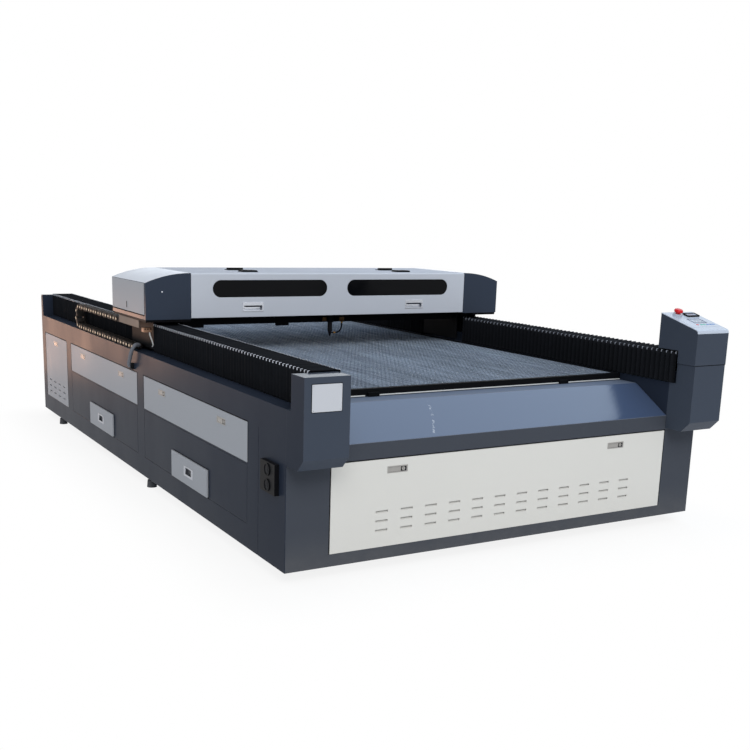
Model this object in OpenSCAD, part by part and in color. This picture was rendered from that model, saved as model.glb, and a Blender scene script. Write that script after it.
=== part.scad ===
// Flatbed laser cutting machine with a moving gantry, sizes in millimetres.
// X runs across the machine, Y from the operator's end to the rear, Z up from the floor.
// Depths are counted from the front skin, and the finished model is centred in Y.

/* [Cabinet] */
// Width over the side skins
base_w = 2100; // [1960:10:2300]
// Depth from the front skin to the rear skin
base_d = 3760; // [3660:10:4200]
// Height of the side ledges above the floor
ledge_z = 675; // [660:5:740]
// Gap between the floor and the skirt
skirt_z = 50; // [40:5:70]
// Thickness of the cabinet sheet
sheet_t = 3; // [2:0.5:4]
// Side of the square frame tubes
tube_s = 50; // [40:5:55]
// Wall of the frame tubes
tube_t = 3; // [2:0.5:5]
// Depth of the inner flange that hangs from each ledge
flange_h = 155; // [120:5:160]

/* [Rail covers] */
// Width of the covers over the rails
cap_w = 186; // [176:2:200]
// How far the front covers stand out in front of the cabinet
cap_over = 140; // [110:5:170]
// Depth of the front covers above the ledge
cap_d = 103; // [80:1:108]
// Height of the covers above the ledge
cap_h = 135; // [110:5:137]
// How far the front covers reach down below the ledge
cap_drop = 210; // [180:5:212]
// Slope under the front covers
cap_slope = 46; // [20:2:60]
// Thickness of the rear covers
rear_cap_d = 40; // [30:5:120]
// Height of the rail beams
beam_h = 50; // [40:5:60]
// Width of the rail beams
beam_w = 70; // [60:2:80]
// Side of the linear rails
rail_s = 20; // [15:1:24]
// Distance from a cover's inner face to the middle of its rail
rail_in = 53; // [50:1:60]

/* [Bellows] */
// Width of the bellows
bellows_w = 133; // [125:1:140]
// Height of the bellows over the ledge
bellows_h = 142; // [138:1:146]
// Distance between two pleats
pleat_pitch = 30; // [24:1:45]
// Depth of a pleat
pleat_d = 16; // [10:1:18]
// Thickness of the bellows cloth
cloth_t = 2; // [1:0.5:3]

/* [Front] */
// Height of the apron's rear edge below the ledges
apron_drop = 33; // [20:1:40]
// Rise of the apron's slope
apron_rise = 120; // [90:5:122]
// Run of the apron's slope
apron_run = 204; // [150:2:240]
// Distance from a side skin to the front door
door_in = 190; // [188:2:350]
// Height of the front door
door_h = 353; // [250:1:355]
// Distance from the skirt to the front door
door_low = 50; // [40:5:60]
// Thickness of the doors' sheet
door_t = 2; // [1.5:0.5:3]
// Depth of the doors' folded edges
door_fold = 18; // [14:1:24]
// Gap round the doors
door_gap = 2; // [1.5:0.5:4]
// Half distance between the front door's latches
door_latch_x = 567; // [300:1:700]
// Louver columns
louver_n = 12; // [4:1:12]
// Distance between louver columns
louver_pitch = 115; // [80:1:120]
// Distance between louver rows
louver_row = 38; // [30:1:45]
// Length of one louver
louver_l = 55; // [30:1:70]

/* [Left side] */
// Start of the front access panel
panel_y = 347; // [300:1:400]
// Middle of the post between the front and middle panels
post_y = 1680; // [1600:5:1700]
// Distance from the rear skin to the post before the rear panel
rear_bay = 685; // [600:5:700]
// Space from a post's middle to a panel
post_side = 54; // [50:1:60]
// Height of the access panels
panel_h = 163; // [140:1:180]
// Height of the rear access panel
rear_panel_h = 413; // [350:1:413]
// Louver columns of the rear access panel
vent_n = 4; // [2:1:4]
// Distance from the ledge to the panels' upper edge
panel_drop = 109; // [90:1:109]
// Distance from a panel's end to its latch
latch_in = 270; // [150:5:300]
// Distance from a panel's upper edge to its latches
latch_drop = 44; // [35:1:60]
// Width of the scrap drawers
drawer_w = 445; // [350:5:500]
// Height of the scrap drawers
drawer_h = 122; // [90:1:125]
// Distance from the skirt to the drawers
drawer_low = 105; // [100:1:110]
// Length of the drawer trays
drawer_l = 450; // [300:10:500]
// How far the drawer fronts stand proud
drawer_proud = 8; // [8:1:20]

/* [Bed] */
// Distance from the front skin to the bed
bed_y = 311; // [300:1:340]
// Length of the bed
bed_l = 2949; // [2700:1:3000]
// Width of the bed's frame bars
bed_bar = 24; // [16:1:36]
// Height of the bed's frame bars
bed_h = 29; // [20:1:32]
// Openings across one half of the honeycomb bed
cell_n = 56; // [20:1:60]
// Thickness of the honeycomb ribs
cell_rib = 8; // [4:1:12]

/* [Gantry] */
// Rest position of the gantry's front, counted from the front skin
gantry_y = 1564; // [1400:2:1700]
// Depth of the gantry cover
gantry_d = 540; // [500:5:560]
// How far the gantry cover stands out past the side skins
gantry_over = 5; // [0:1:10]
// Distance from a rail cover's inner face to the lid's end
lid_in = 42; // [34:2:104]
// Height of the gantry floor above the ledge
gantry_lift = 172; // [170:1:190]
// Height of the gantry cover
cover_h = 226; // [200:2:240]
// Radius of the end caps' rounded top
crown_r = 600; // [550:10:800]
// Thickness of the gantry's sheet
cover_t = 3; // [2:0.5:4]
// Depth of the rail carriages
carriage_l = 345; // [280:5:360]
// Thickness of the gantry's floor plates
floor_t = 12; // [8:1:14]
// Depth of the cross beam
cross_d = 140; // [100:5:150]
// Height of the cross beam
cross_h = 132; // [100:2:140]
// Diameter of the laser tube
tube_dia = 80; // [50:1:90]
// Distance from the cover's rear to the middle of the laser tube
tube_back = 119; // [100:1:130]
// Distance between the outer clamps of the laser tube
clamp_x = 1040; // [600:10:1200]
// Length of a lid window
window_l = 646; // [400:2:660]
// Height of the lid windows
window_h = 86; // [60:2:100]
// Distance between the middles of the lid windows
window_x = 767; // [740:1:800]
// Distance between the middles of the lid pulls
pull_x = 974; // [700:2:1100]
// Length of a lid pull
pull_l = 114; // [90:1:140]
// Height of a lid pull
pull_h = 47; // [40:1:54]
// Distance between the lid hinges
hinge_x = 932; // [600:2:1200]
// Distance from the cover's rear to the hinge line
hinge_back = 250; // [120:1:260]
// Radius of the hinge knuckles
knuckle_r = 6; // [5:0.5:8]

/* [Laser head] */
// Distance from the lid's front to the nozzle
head_in = 76; // [70:1:84]
// Diameter of the lens tube
lens_dia = 25; // [20:1:28]
// Height of the nozzle tip over the bed
nozzle_gap = 58; // [30:1:90]
// Diameter of the air hose
hose_dia = 8; // [6:1:10]

/* [Drag chain] */
// Link pitch
link_pitch = 48; // [40:1:60]
// Link height
link_h = 28; // [22:1:32]
// Link width
link_w = 50; // [40:1:52]
// Radius of the chain's bend
bend_r = 58; // [50:1:60]
// Distance of the chain's bend behind the gantry's front
chain_back = 1288; // [1000:2:1340]

/* [Control head] */
// Height of the head's seam above the ledge
head_seam = 90; // [70:5:110]
// Height of the head's front over its seam
head_h = 155; // [120:5:180]
// Rise of the control panel from front to rear
head_rise = 60; // [30:2:80]
// How far the head reaches back over the bellows
head_back = 120; // [80:5:140]
// How far the head overhangs the cover below it
head_lip = 3; // [2:0.5:5]
// Radius of the panel's front edge
head_r = 16; // [8:1:24]
// Diameter of the emergency stop's head
stop_dia = 40; // [30:1:44]

/* [Hidden] */
$fn = 48;

// Running clearance between pieces that move past each other
fit = 0.3;
// Cut that passes well through a sheet
past = 5;
// Open joint between two welded bars
weld = 0.2;

// Colours
slate = "#3c424e";
slate_front = "#4e5058";
cream = "#d0cfcb";
silver = "#acb2bc";
light_grey = "#a6aab0";
black = "#15161a";
steel = "#b8bcc2";

// Cabinet
hw = base_w / 2;
inner_x = hw - cap_w;
frame_x = hw - sheet_t - tube_s / 2;
spigot_l = 60;
spigot_r = 75;
spigot_t = 3;
spigot_x = 450;
spigot_z = skirt_z + 280;
mid_y = (base_d + spigot_l - cap_over) / 2;
band_z = ledge_z - apron_drop - apron_rise;
apron_z = ledge_z - apron_drop;
door_hw = hw - door_in;
door_z = skirt_z + door_low;
foot_places = [[900, 180], [frame_x, 1608], [frame_x, base_d - 373]];

// Rails and bellows
cap_rear = cap_d - cap_over;
rail_x = inner_x + rail_in;
beam_y0 = cap_rear;
beam_y1 = base_d - rear_cap_d;
rail_z = ledge_z + beam_h;
bellows_x0 = rail_x + bellows_w / 2 - bellows_w;
bellows_z0 = ledge_z + 3;
bellows_z1 = ledge_z + bellows_h;

// Bed
bed_z1 = ledge_z - 1;
bed_z0 = bed_z1 - bed_h;
bed_hw = inner_x - 4;
bed_y1 = bed_y + bed_l;
bed_seam = bed_y + bed_l / 2;

// Left panels, each as [start, end, lower edge, upper edge]
panel_z1 = ledge_z - panel_drop;
rear_post = base_d - rear_bay;
front_panel_at = [panel_y, post_y - post_side, panel_z1 - panel_h, panel_z1];
mid_panel_at = [post_y + post_side, rear_post - post_side, panel_z1 - panel_h, panel_z1];
rear_panel_at = [rear_post + post_side, base_d - 90, panel_z1 - rear_panel_h, panel_z1];
latch_z = panel_z1 - latch_drop;
low_z = skirt_z + 100;
drawer_z = skirt_z + drawer_low;
drawer_mids = [middle(front_panel_at), middle(mid_panel_at)];
post_places = [sheet_t + tube_s / 2, 270, post_y, rear_post, base_d - sheet_t - tube_s / 2];

// Latches
bezel_w = 92;
bezel_h = 27;
tray_w = 86;
tray_h = 23;
tray_d = 14;
pocket_w = 80;
pocket_h = 19;
barrel_r = 2;
lock_d = 15;
lock_x = 27;

// Drawer pulls
pull_w = 112;
pull_rim = 46;
mouth_w = 72;
mouth_h = 26;

// Height of the slot over a louver's flap
louver_h = 9;

// Gantry
gantry_hw = hw + gantry_over;
lid_hw = inner_x - lid_in;
floor_z = ledge_z + gantry_lift;
top_z = floor_z + cover_h;
gantry_y1 = gantry_y + gantry_d;
carriage_y = gantry_y + 96;
carriage_y1 = carriage_y + carriage_l;
cross_y = gantry_y + head_in + 50;
cross_z = floor_z - 44;
lid_z = floor_z + past;
hinge_y = gantry_y1 - hinge_back;
hinge_z = top_z + knuckle_r + fit;
lid_gap = 2;
knuckle_l = 30;
leaf_d = 32;
stop_in = 175;
flap_z0 = floor_z + 24;
flap_z1 = crown(gantry_hw) - 2;
flap_t = 2;
tube_y = gantry_y1 - tube_back;
tube_z = floor_z + 110;
tube_hl = lid_hw - 42;

// Laser head
head_y = gantry_y + head_in;
x_rail_z = cross_z + 77;
tip_z = bed_z1 + nozzle_gap;
head_low = floor_z - 47;

// Drag chain
chain_x = -hw + 32;
chain_z0 = ledge_z + fit + link_h / 2;
chain_z1 = chain_z0 + 2 * bend_r;
chain_fix = gantry_y + 261;
chain_tie = carriage_y1 + 3;
chain_bend = gantry_y + chain_back;
low_run = chain_bend - chain_fix;
bend_run = PI * bend_r;
up_run = chain_bend - chain_tie;
link_n = floor((low_run + bend_run + up_run) / link_pitch);
conduit_r = 10;
conduit_points = [
    for (p = [
        [32, -3, 23], [31, -35, 24], [20, -63, 29], [0, -80, 31],
        [-14, -78, 14], [-21, -66, -15], [-22, -48, -47], [-22, -34, -71], [-16, -31, -82]
    ])
        [p[0] - hw, chain_fix + p[1], ledge_z + p[2]]
];

// Control head
seam_z = ledge_z + head_seam;
head_x0 = inner_x - head_lip;
head_x1 = hw + head_lip;
head_y0 = -cap_over;
head_y1 = cap_rear + head_back;
slope = atan(head_rise / (head_y1 - head_y0));
head_front_z = seam_z + head_h;
head_rear_z = head_front_z + head_rise;
head_under = bellows_z1 + 5;
panel_t = 3;
panel_lip = 2;
edge_y = head_y0 + head_r;
edge_z = head_front_z + head_r * tan(slope) - head_r / cos(slope);
stop_at = [52, 187];
meter_at = [135, 184];
lcd_at = [104, 115];
stop_travel = 6;
stop_stem = 10.7;

function middle(p) = (p[0] + p[1]) / 2;
function crown(x) = top_z - crown_r + sqrt(crown_r * crown_r - (x - lid_hw) * (x - lid_hw));
function arc(c, r, a0, a1, n) = [for (i = [0:n]) let (a = a0 + (a1 - a0) * i / n) c + r * [cos(a), sin(a)]];

// A smooth way through a list of points
function spline(p, i, t) =
    let (
        a = p[max(i - 1, 0)],
        b = p[i],
        c = p[i + 1],
        d = p[min(i + 2, len(p) - 1)]
    )
    0.5 * (2 * b + (c - a) * t + (2 * a - 5 * b + 4 * c - d) * t * t + (3 * b - a - 3 * c + d) * t * t * t);
function way(p, n) = concat(
    [for (i = [0:len(p) - 2]) for (k = [0:n - 1]) spline(p, i, k / n)],
    [p[len(p) - 1]]
);
function unit(v) = v / norm(v);

// Depth and height of a point at a distance along the drag chain
function chain_at(s) =
    s < low_run ? [chain_fix + s, chain_z0] :
    s < low_run + bend_run ?
        let (a = (s - low_run) / bend_r * 180 / PI)
        [chain_bend + bend_r * sin(a), chain_z0 + bend_r - bend_r * cos(a)] :
        [chain_bend - (s - low_run - bend_run), chain_z1];

// Box between two corners
module box(x, y, z) {
    translate([x[0], y[0], z[0]])
        cube([x[1] - x[0], y[1] - y[0], z[1] - z[0]]);
}

// The children and their mirror image on the other side
module both() {
    children();
    mirror([1, 0, 0]) children();
}

// Outline of depth and height, run out along X
module along_x(x0, x1) {
    translate([x0, 0, 0]) rotate([90, 0, 90])
        linear_extrude(x1 - x0) children();
}

// Outline of width and height, run out along Y
module along_y(y0, y1) {
    translate([0, y1, 0]) rotate([90, 0, 0])
        linear_extrude(y1 - y0) children();
}

// Slot outline with round ends
module stadium(l, h) {
    square([l - h, h], center = true);
    for (s = [-1, 1])
        translate([s * (l - h) / 2, 0]) circle(d = h);
}

// Square tube along X, Y or Z between two corners
module hollow_x(x, y, z) {
    difference() {
        box(x, y, z);
        box([x[0] - 1, x[1] + 1], [y[0] + tube_t, y[1] - tube_t], [z[0] + tube_t, z[1] - tube_t]);
    }
}
module hollow_y(x, y, z) {
    difference() {
        box(x, y, z);
        box([x[0] + tube_t, x[1] - tube_t], [y[0] - 1, y[1] + 1], [z[0] + tube_t, z[1] - tube_t]);
    }
}
module hollow_z(x, y, z) {
    difference() {
        box(x, y, z);
        box([x[0] + tube_t, x[1] - tube_t], [y[0] + tube_t, y[1] - tube_t], [z[0] - 1, z[1] + 1]);
    }
}

// Faces a fitting out of the front skin or the left skin
module on_front(x, y, z) {
    translate([x, y, z]) rotate([90, 0, 0]) children();
}
module on_left(x, y, z) {
    translate([x, y, z]) rotate([90, 0, -90]) children();
}

// Moves the whole model to the middle of its depth
module placed() {
    translate([0, -mid_y, 0]) children();
}

// Lower frame of square tubes
module bottom_frame() {
    z = [skirt_z, skirt_z + tube_s];
    cross_x = frame_x - tube_s / 2 - weld;
    color(slate) {
        both()
            hollow_y([frame_x - tube_s / 2, frame_x + tube_s / 2], [sheet_t, base_d - sheet_t], z);
        for (y = [foot_places[0][1], post_y, base_d - sheet_t - tube_s / 2])
            hollow_x([-cross_x, cross_x], [y - tube_s / 2, y + tube_s / 2], z);
    }
}

// Posts that carry the ledges
module frame_posts() {
    color(slate) both()
        for (y = post_places)
            hollow_z(
                [frame_x - tube_s / 2, frame_x + tube_s / 2], [y - tube_s / 2, y + tube_s / 2],
                [skirt_z + tube_s, ledge_z - sheet_t]
            );
}

// Cross tubes that carry the bed
module bed_beams() {
    n = 5;
    color(slate)
        for (i = [0:n - 1])
            let (y = bed_y + tube_s / 2 + i * (bed_l - tube_s) / (n - 1))
            hollow_x(
                [-inner_x, inner_x], [y - tube_s / 2, y + tube_s / 2],
                [bed_z0 - tube_s, bed_z0]
            );
}

// Side skin, ledge and inner flange, folded from one sheet
module side_profile() {
    polygon([
        [hw, skirt_z], [hw, ledge_z], [inner_x, ledge_z], [inner_x, ledge_z - flange_h],
        [inner_x + sheet_t, ledge_z - flange_h], [inner_x + sheet_t, ledge_z - sheet_t],
        [hw - sheet_t, ledge_z - sheet_t], [hw - sheet_t, skirt_z]
    ]);
}

// Thin joint line round a panel in the skin
module seam(y, z) {
    w = 3;
    d = sheet_t / 2;
    difference() {
        box([hw - d, hw + 1], y, z);
        box([hw - d - 1, hw + 2], [y[0] + w, y[1] - w], [z[0] + w, z[1] - w]);
    }
}
module side_seams() {
    for (p = [front_panel_at, mid_panel_at])
        seam([p[0], p[1]], [low_z, panel_z1 - panel_h - 6]);
    box([hw - sheet_t / 2, hw + 1], [240, 243], [skirt_z - 1, panel_z1]);
}

module left_skin() {
    color(slate) mirror([1, 0, 0]) difference() {
        along_y(0, base_d) side_profile();
        side_seams();
        for (p = [front_panel_at, mid_panel_at, rear_panel_at])
            box(
                [hw - sheet_t - past, hw + past], [p[0] - door_gap, p[1] + door_gap],
                [p[2] - fit, p[3] + door_gap]
            );
        for (y = drawer_mids)
            box(
                [hw - sheet_t - past, hw + past], [y - drawer_w / 2 + 6, y + drawer_w / 2 - 6],
                [drawer_z + 6, drawer_z + drawer_h - 6]
            );
    }
}

module right_skin() {
    color(slate) difference() {
        along_y(0, base_d) side_profile();
        side_seams();
        for (p = [front_panel_at, mid_panel_at, rear_panel_at])
            seam([p[0], p[1]], [p[2], p[3]]);
    }
}

// Front skin with the door's opening, reaching up behind the rail covers
module front_frame() {
    x1 = hw - sheet_t;
    color(slate_front) difference() {
        union() {
            box([-x1, x1], [0, sheet_t], [skirt_z, min(band_z, ledge_z - flange_h)]);
            box([-inner_x, inner_x], [0, sheet_t], [skirt_z, band_z]);
            both()
                box([inner_x + sheet_t, x1], [0, sheet_t], [skirt_z, ledge_z - sheet_t]);
        }
        box(
            [-door_hw - door_gap, door_hw + door_gap], [-past, sheet_t + past],
            [door_z - fit, door_z + door_h + door_gap]
        );
    }
}

// Rear skin and deck, with the two exhaust openings
module rear_skin() {
    color(slate) difference() {
        union() {
            box([-inner_x, inner_x], [base_d - sheet_t, base_d], [skirt_z, apron_z]);
            box([-inner_x, inner_x], [bed_y1 + 4, base_d], [apron_z - sheet_t, apron_z]);
            box([sheet_t - hw, hw - sheet_t], [base_d - sheet_t, base_d], [skirt_z, ledge_z - flange_h]);
            both()
                box(
                    [inner_x + sheet_t, hw - sheet_t], [base_d - sheet_t, base_d],
                    [skirt_z, ledge_z - sheet_t]
                );
        }
        both()
            translate([spigot_x, base_d - sheet_t - past, spigot_z]) rotate([-90, 0, 0])
                cylinder(r = spigot_r - spigot_t, h = sheet_t + 2 * past);
    }
}

// Flanged collars for the exhaust hoses
module exhaust_spigots() {
    color(light_grey) both()
        translate([spigot_x, base_d, spigot_z]) rotate([-90, 0, 0])
            difference() {
                union() {
                    cylinder(r = spigot_r + 20, h = sheet_t);
                    cylinder(r = spigot_r, h = spigot_l);
                }
                translate([0, 0, -1]) cylinder(r = spigot_r - spigot_t, h = spigot_l + 2);
            }
}

// Sloped front apron with its flange towards the bed
module apron() {
    t = sheet_t / cos(atan(apron_rise / apron_run));
    color(slate_front) along_x(-inner_x, inner_x)
        polygon([
            [0, band_z], [apron_run, apron_z], [bed_y - 5, apron_z], [bed_y - 5, apron_z - sheet_t],
            [apron_run + (t - sheet_t) * apron_run / apron_rise, apron_z - sheet_t],
            [t * apron_run / apron_rise, band_z]
        ]);
}

// Black bars round the bed, a bar under its seam and two clips in front
module bed_frame() {
    clip_x = 506;
    color(black) {
        for (y = [bed_y, bed_y1 - bed_bar])
            box([-bed_hw, bed_hw], [y, y + bed_bar], [bed_z0, bed_z1]);
        both()
            box(
                [bed_hw - bed_bar, bed_hw], [bed_y + bed_bar + weld, bed_y1 - bed_bar - weld],
                [bed_z0, bed_z1]
            );
        box(
            [bed_bar + weld - bed_hw, bed_hw - bed_bar - weld],
            [bed_seam - bed_bar / 2, bed_seam + bed_bar / 2],
            [bed_z0, bed_z0 + bed_h / 2]
        );
        both()
            box([clip_x - 26, clip_x + 26], [bed_y - 14, bed_y], [apron_z, bed_z0 + bed_h / 2]);
    }
}

// Two honeycomb halves, each with its ribbons running along Y
module bed_panels() {
    x1 = bed_hw - bed_bar - 1;
    l = bed_l / 2 - bed_bar - 2;
    pitch = (2 * x1 - cell_rib) / cell_n;
    color("#69788a")
        for (y = [bed_y + bed_bar + 1, bed_seam + 1])
            translate([0, y, bed_z0 + bed_h / 2]) linear_extrude(bed_h / 2 - 2)
                difference() {
                    translate([-x1, 0]) square([2 * x1, l]);
                    for (i = [0:cell_n - 1])
                        translate([-x1 + cell_rib + i * pitch, cell_rib])
                            square([pitch - cell_rib, l - 2 * cell_rib]);
                }
}

// Sloping sheets that lead the offcuts to the drawers
module scrap_chutes() {
    reach = 600;
    low_x = reach - hw;
    high_z = bed_z0 - tube_s - 35;
    low_end = drawer_z + drawer_h + 18;
    color(slate)
        for (y = [bed_y + 40, bed_seam + 20])
            along_y(y, y + bed_l / 2 - 60)
                polygon([
                    [low_x, low_end], [inner_x, high_z],
                    [inner_x, high_z - sheet_t], [low_x, low_end - sheet_t]
                ]);
}

// Angle runners under the drawer trays
module drawer_runners() {
    tray_hw = drawer_w / 2 - 12;
    z = drawer_z + 10 - fit;
    color(steel)
        for (m = drawer_mids)
            for (s = [-1, 1])
                translate([0, m, 0]) mirror([0, s < 0 ? 1 : 0, 0])
                    along_x(sheet_t - hw, 20 + drawer_l - hw)
                        polygon([
                            [tray_hw - 24, z], [tray_hw - 24, z - 2], [tray_hw + 22, z - 2],
                            [tray_hw + 22, z + 40], [tray_hw + 20, z + 40], [tray_hw + 20, z]
                        ]);
}

// Beams under the rails, from the front covers to the rear covers
module rail_beams() {
    color(slate) both()
        hollow_y([rail_x - beam_w / 2, rail_x + beam_w / 2], [beam_y0, beam_y1], [ledge_z, rail_z]);
}

module linear_rails() {
    color(steel) both()
        along_y(beam_y0 + 5, beam_y1 - 5)
            translate([rail_x, rail_z])
                polygon([
                    [-rail_s / 2, 0], [rail_s / 2, 0], [rail_s / 2, rail_s * 0.3],
                    [rail_s * 0.38, rail_s * 0.5], [rail_s * 0.38, rail_s * 0.7], [rail_s / 2, rail_s],
                    [-rail_s / 2, rail_s], [-rail_s * 0.38, rail_s * 0.7],
                    [-rail_s * 0.38, rail_s * 0.5], [-rail_s / 2, rail_s * 0.3]
                ]);
}

// Side outline of a front cover up to a given height
module cap_profile(z1) {
    z0 = ledge_z - cap_drop;
    polygon([
        [-cap_over, z0 + cap_slope], [cap_slope - cap_over, z0], [0, z0], [0, ledge_z],
        [cap_rear, ledge_z], [cap_rear, z1], [-cap_over, z1]
    ]);
}

module left_front_cap() {
    color(slate_front) along_x(-hw, -inner_x) cap_profile(ledge_z + cap_h);
}

module right_front_cap() {
    color(slate_front) along_x(inner_x, hw) cap_profile(seam_z);
}

module rear_caps() {
    bevel = 12;
    color(slate) both()
        along_x(inner_x, hw)
            polygon([
                [beam_y1, ledge_z], [base_d, ledge_z], [base_d, ledge_z + cap_h - bevel],
                [base_d - bevel, ledge_z + cap_h], [beam_y1, ledge_z + cap_h]
            ]);
}

// Rounded front edge of the control panel, at an inset from its outer face
function panel_edge(d) = arc([edge_y, edge_z], head_r - d, 180, 90 + slope, 8);

// Housing under the control panel
module control_head() {
    wall = 3;
    rear_z = head_rear_z - panel_t / cos(slope);
    outline = concat(
        [[head_y0, edge_z - panel_lip], [head_y0, seam_z], [cap_rear, seam_z], [cap_rear, head_under],
         [head_y1, head_under], [head_y1, rear_z]],
        [for (i = [8:-1:0]) panel_edge(panel_t)[i]],
        [[head_y0 + panel_t, edge_z - panel_lip]]
    );
    hollow = [
        [head_y0 + 2 * wall, seam_z + wall], [cap_rear - wall, seam_z + wall],
        [cap_rear - wall, head_under + wall], [head_y1 - wall, head_under + wall],
        [head_y1 - wall, rear_z + past], [head_y0 + 2 * wall, edge_z]
    ];
    color(slate_front) difference() {
        along_x(head_x0, head_x1) polygon(outline);
        along_x(head_x0 + wall, head_x1 - wall) polygon(hollow);
    }
}

// Frame of the control panel's face: X across, Y up the slope, Z out of it
module on_panel(at) {
    translate([inner_x + at[0], head_y0, head_front_z]) rotate([slope, 0, 0])
        translate([0, at[1], 0]) children();
}

// Light panel with its rounded front edge and the emergency stop's collar
module control_panel() {
    collar_h = 10;
    lcd = [70, 44];
    outline = concat(
        [[head_y0, edge_z - panel_lip]], panel_edge(0), [[head_y1, head_rear_z]],
        [[head_y1, head_rear_z - panel_t / cos(slope)]],
        [for (i = [8:-1:0]) panel_edge(panel_t)[i]], [[head_y0 + panel_t, edge_z - panel_lip]]
    );
    color(cream) difference() {
        union() {
            along_x(head_x0, head_x1) polygon(outline);
            on_panel(stop_at) cylinder(d = stop_dia + 2, h = collar_h);
        }
        on_panel(stop_at) translate([0, 0, -past]) cylinder(r = stop_stem + fit, h = collar_h + 2 * past);
        on_panel(lcd_at) translate([0, 0, 1 - panel_t]) linear_extrude(past) square(lcd, center = true);
    }
}

module display() {
    color(black)
        on_panel(lcd_at) translate([0, 0, 1 - panel_t]) linear_extrude(panel_t - 0.5)
            square([69.6, 43.6], center = true);
}

// Meter with a raised frame
module ammeter() {
    color(black)
        on_panel(meter_at) difference() {
            linear_extrude(7) square([74, 36], center = true);
            translate([0, 0, 4]) linear_extrude(past) square([66, 28], center = true);
        }
}

// Pleated cover of one rail: an upturned channel whose sides and top fold in and out
module pleats(y0, y1) {
    n = round((y1 - y0) / pleat_pitch);
    rings = [for (i = [0:2 * n]) i % 2 == 0 ? 0 : pleat_d];
    x1 = bellows_x0 + bellows_w;
    points = [
        for (i = [0:2 * n])
            let (d = rings[i], y = y0 + (y1 - y0) * i / (2 * n), w = d + cloth_t)
            each [
                [bellows_x0 + d, y, bellows_z0], [bellows_x0 + d, y, bellows_z1 - d],
                [x1 - d, y, bellows_z1 - d], [x1 - d, y, bellows_z0],
                [x1 - w, y, bellows_z0], [x1 - w, y, bellows_z1 - w],
                [bellows_x0 + w, y, bellows_z1 - w], [bellows_x0 + w, y, bellows_z0]
            ]
    ];
    walls = [
        for (i = [0:2 * n - 1]) for (k = [0:7])
            let (a = 8 * i + k, b = 8 * i + (k + 1) % 8)
            [a, b, b + 8, a + 8]
    ];
    ends = [[7, 6, 1, 0], [6, 5, 2, 1], [5, 4, 3, 2]];
    last = 16 * n;
    polyhedron(
        points = points,
        faces = concat(
            walls,
            [for (f = ends) f],
            [for (f = ends) [for (k = [3:-1:0]) last + f[k]]]
        )
    );
}

module front_bellows() {
    color(black) both() pleats(cap_rear, carriage_y - fit);
}

module rear_bellows() {
    color(black) both() pleats(carriage_y1 + fit, beam_y1);
}

// One chain link about its middle: X is the chain's way, Z its inner side; outer and inner links alternate
module link(outer) {
    plate = 3;
    w = outer ? link_w : link_w - 2 * plate - 1;
    bar_l = link_pitch / 2;
    for (s = [-1, 1])
        translate([0, s * (w - plate) / 2 + plate / 2, 0]) rotate([90, 0, 0])
            linear_extrude(plate) stadium(link_pitch + link_h * 0.8, link_h);
    for (s = [-1, 1])
        translate([-bar_l / 2, -w / 2, s > 0 ? link_h / 2 - plate : -link_h / 2])
            cube([bar_l, w, plate]);
    if (outer)
        for (s = [-1, 1])
            translate([s * link_pitch / 2, -w / 2, 0]) rotate([90, 0, 0])
                cylinder(d = 9, h = 1.5);
}

module drag_chain() {
    color(black)
        for (i = [0:link_n - 1])
            let (a = chain_at(i * link_pitch), b = chain_at((i + 1) * link_pitch))
            translate([chain_x, (a[0] + b[0]) / 2, (a[1] + b[1]) / 2])
                rotate([atan2(b[1] - a[1], b[0] - a[0]), 0, 0]) rotate([0, 0, 90])
                    link(i % 2 == 0);
}

// Conduit from the chain's fixed end to the gland in the left skin
module chain_conduit() {
    sides = 10;
    p = way(conduit_points, 4);
    last = len(p) - 1;
    heads = [for (i = [0:last]) unit(p[min(i + 1, last)] - p[max(i - 1, 0)])];
    points = [
        for (i = [0:last])
            let (u = unit(cross(heads[i], [0.3, 0.2, 1])), v = cross(heads[i], u))
            for (k = [0:sides - 1])
                p[i] + conduit_r * (cos(360 * k / sides) * u + sin(360 * k / sides) * v)
    ];
    walls = [
        for (i = [0:last - 1]) for (k = [0:sides - 1])
            let (a = i * sides + k, b = i * sides + (k + 1) % sides)
            each [[a, a + sides, b + sides], [a, b + sides, b]]
    ];
    color("#8d9198") {
        polyhedron(
            points = points,
            faces = concat(
                walls, [[for (k = [0:sides - 1]) k]],
                [[for (k = [sides - 1:-1:0]) last * sides + k]]
            )
        );
        translate([-hw, conduit_points[8][1], conduit_points[8][2]]) rotate([0, -90, 0]) {
            cylinder(r = 19, h = 8, $fn = 6);
            cylinder(r = 15, h = -conduit_points[8][0] - hw);
        }
    }
}

// Black box with two round outlets
module socket_box() {
    size = [128, 119];
    depth = 19;
    color(black)
        on_left(-hw, 119, 398) {
            linear_extrude(depth) square(size, center = true);
            for (s = [-1, 1])
                translate([0, s * 30, depth - 1]) difference() {
                    cylinder(r = 24, h = 5);
                    translate([0, 0, 2]) cylinder(r = 20, h = past);
                }
        }
}

// Levelling feet with their lock nuts
module levelling_feet() {
    pad_h = skirt_z - 14;
    color(black) both()
        for (p = foot_places)
            translate([p[0], p[1], 0]) {
                cylinder(r1 = 25, r2 = 22, h = pad_h);
                cylinder(r = 8, h = skirt_z);
                translate([0, 0, pad_h - 1]) cylinder(r = 15, h = 11, $fn = 6);
            }
}

// Cross beam of the gantry
module gantry_beam() {
    wall = 5;
    color(black) difference() {
        box([-lid_hw, lid_hw], [cross_y, cross_y + cross_d], [cross_z, cross_z + cross_h]);
        box(
            [-lid_hw - 1, lid_hw + 1], [cross_y + wall, cross_y + cross_d - wall],
            [cross_z + wall, cross_z + cross_h - wall]
        );
    }
}

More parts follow.
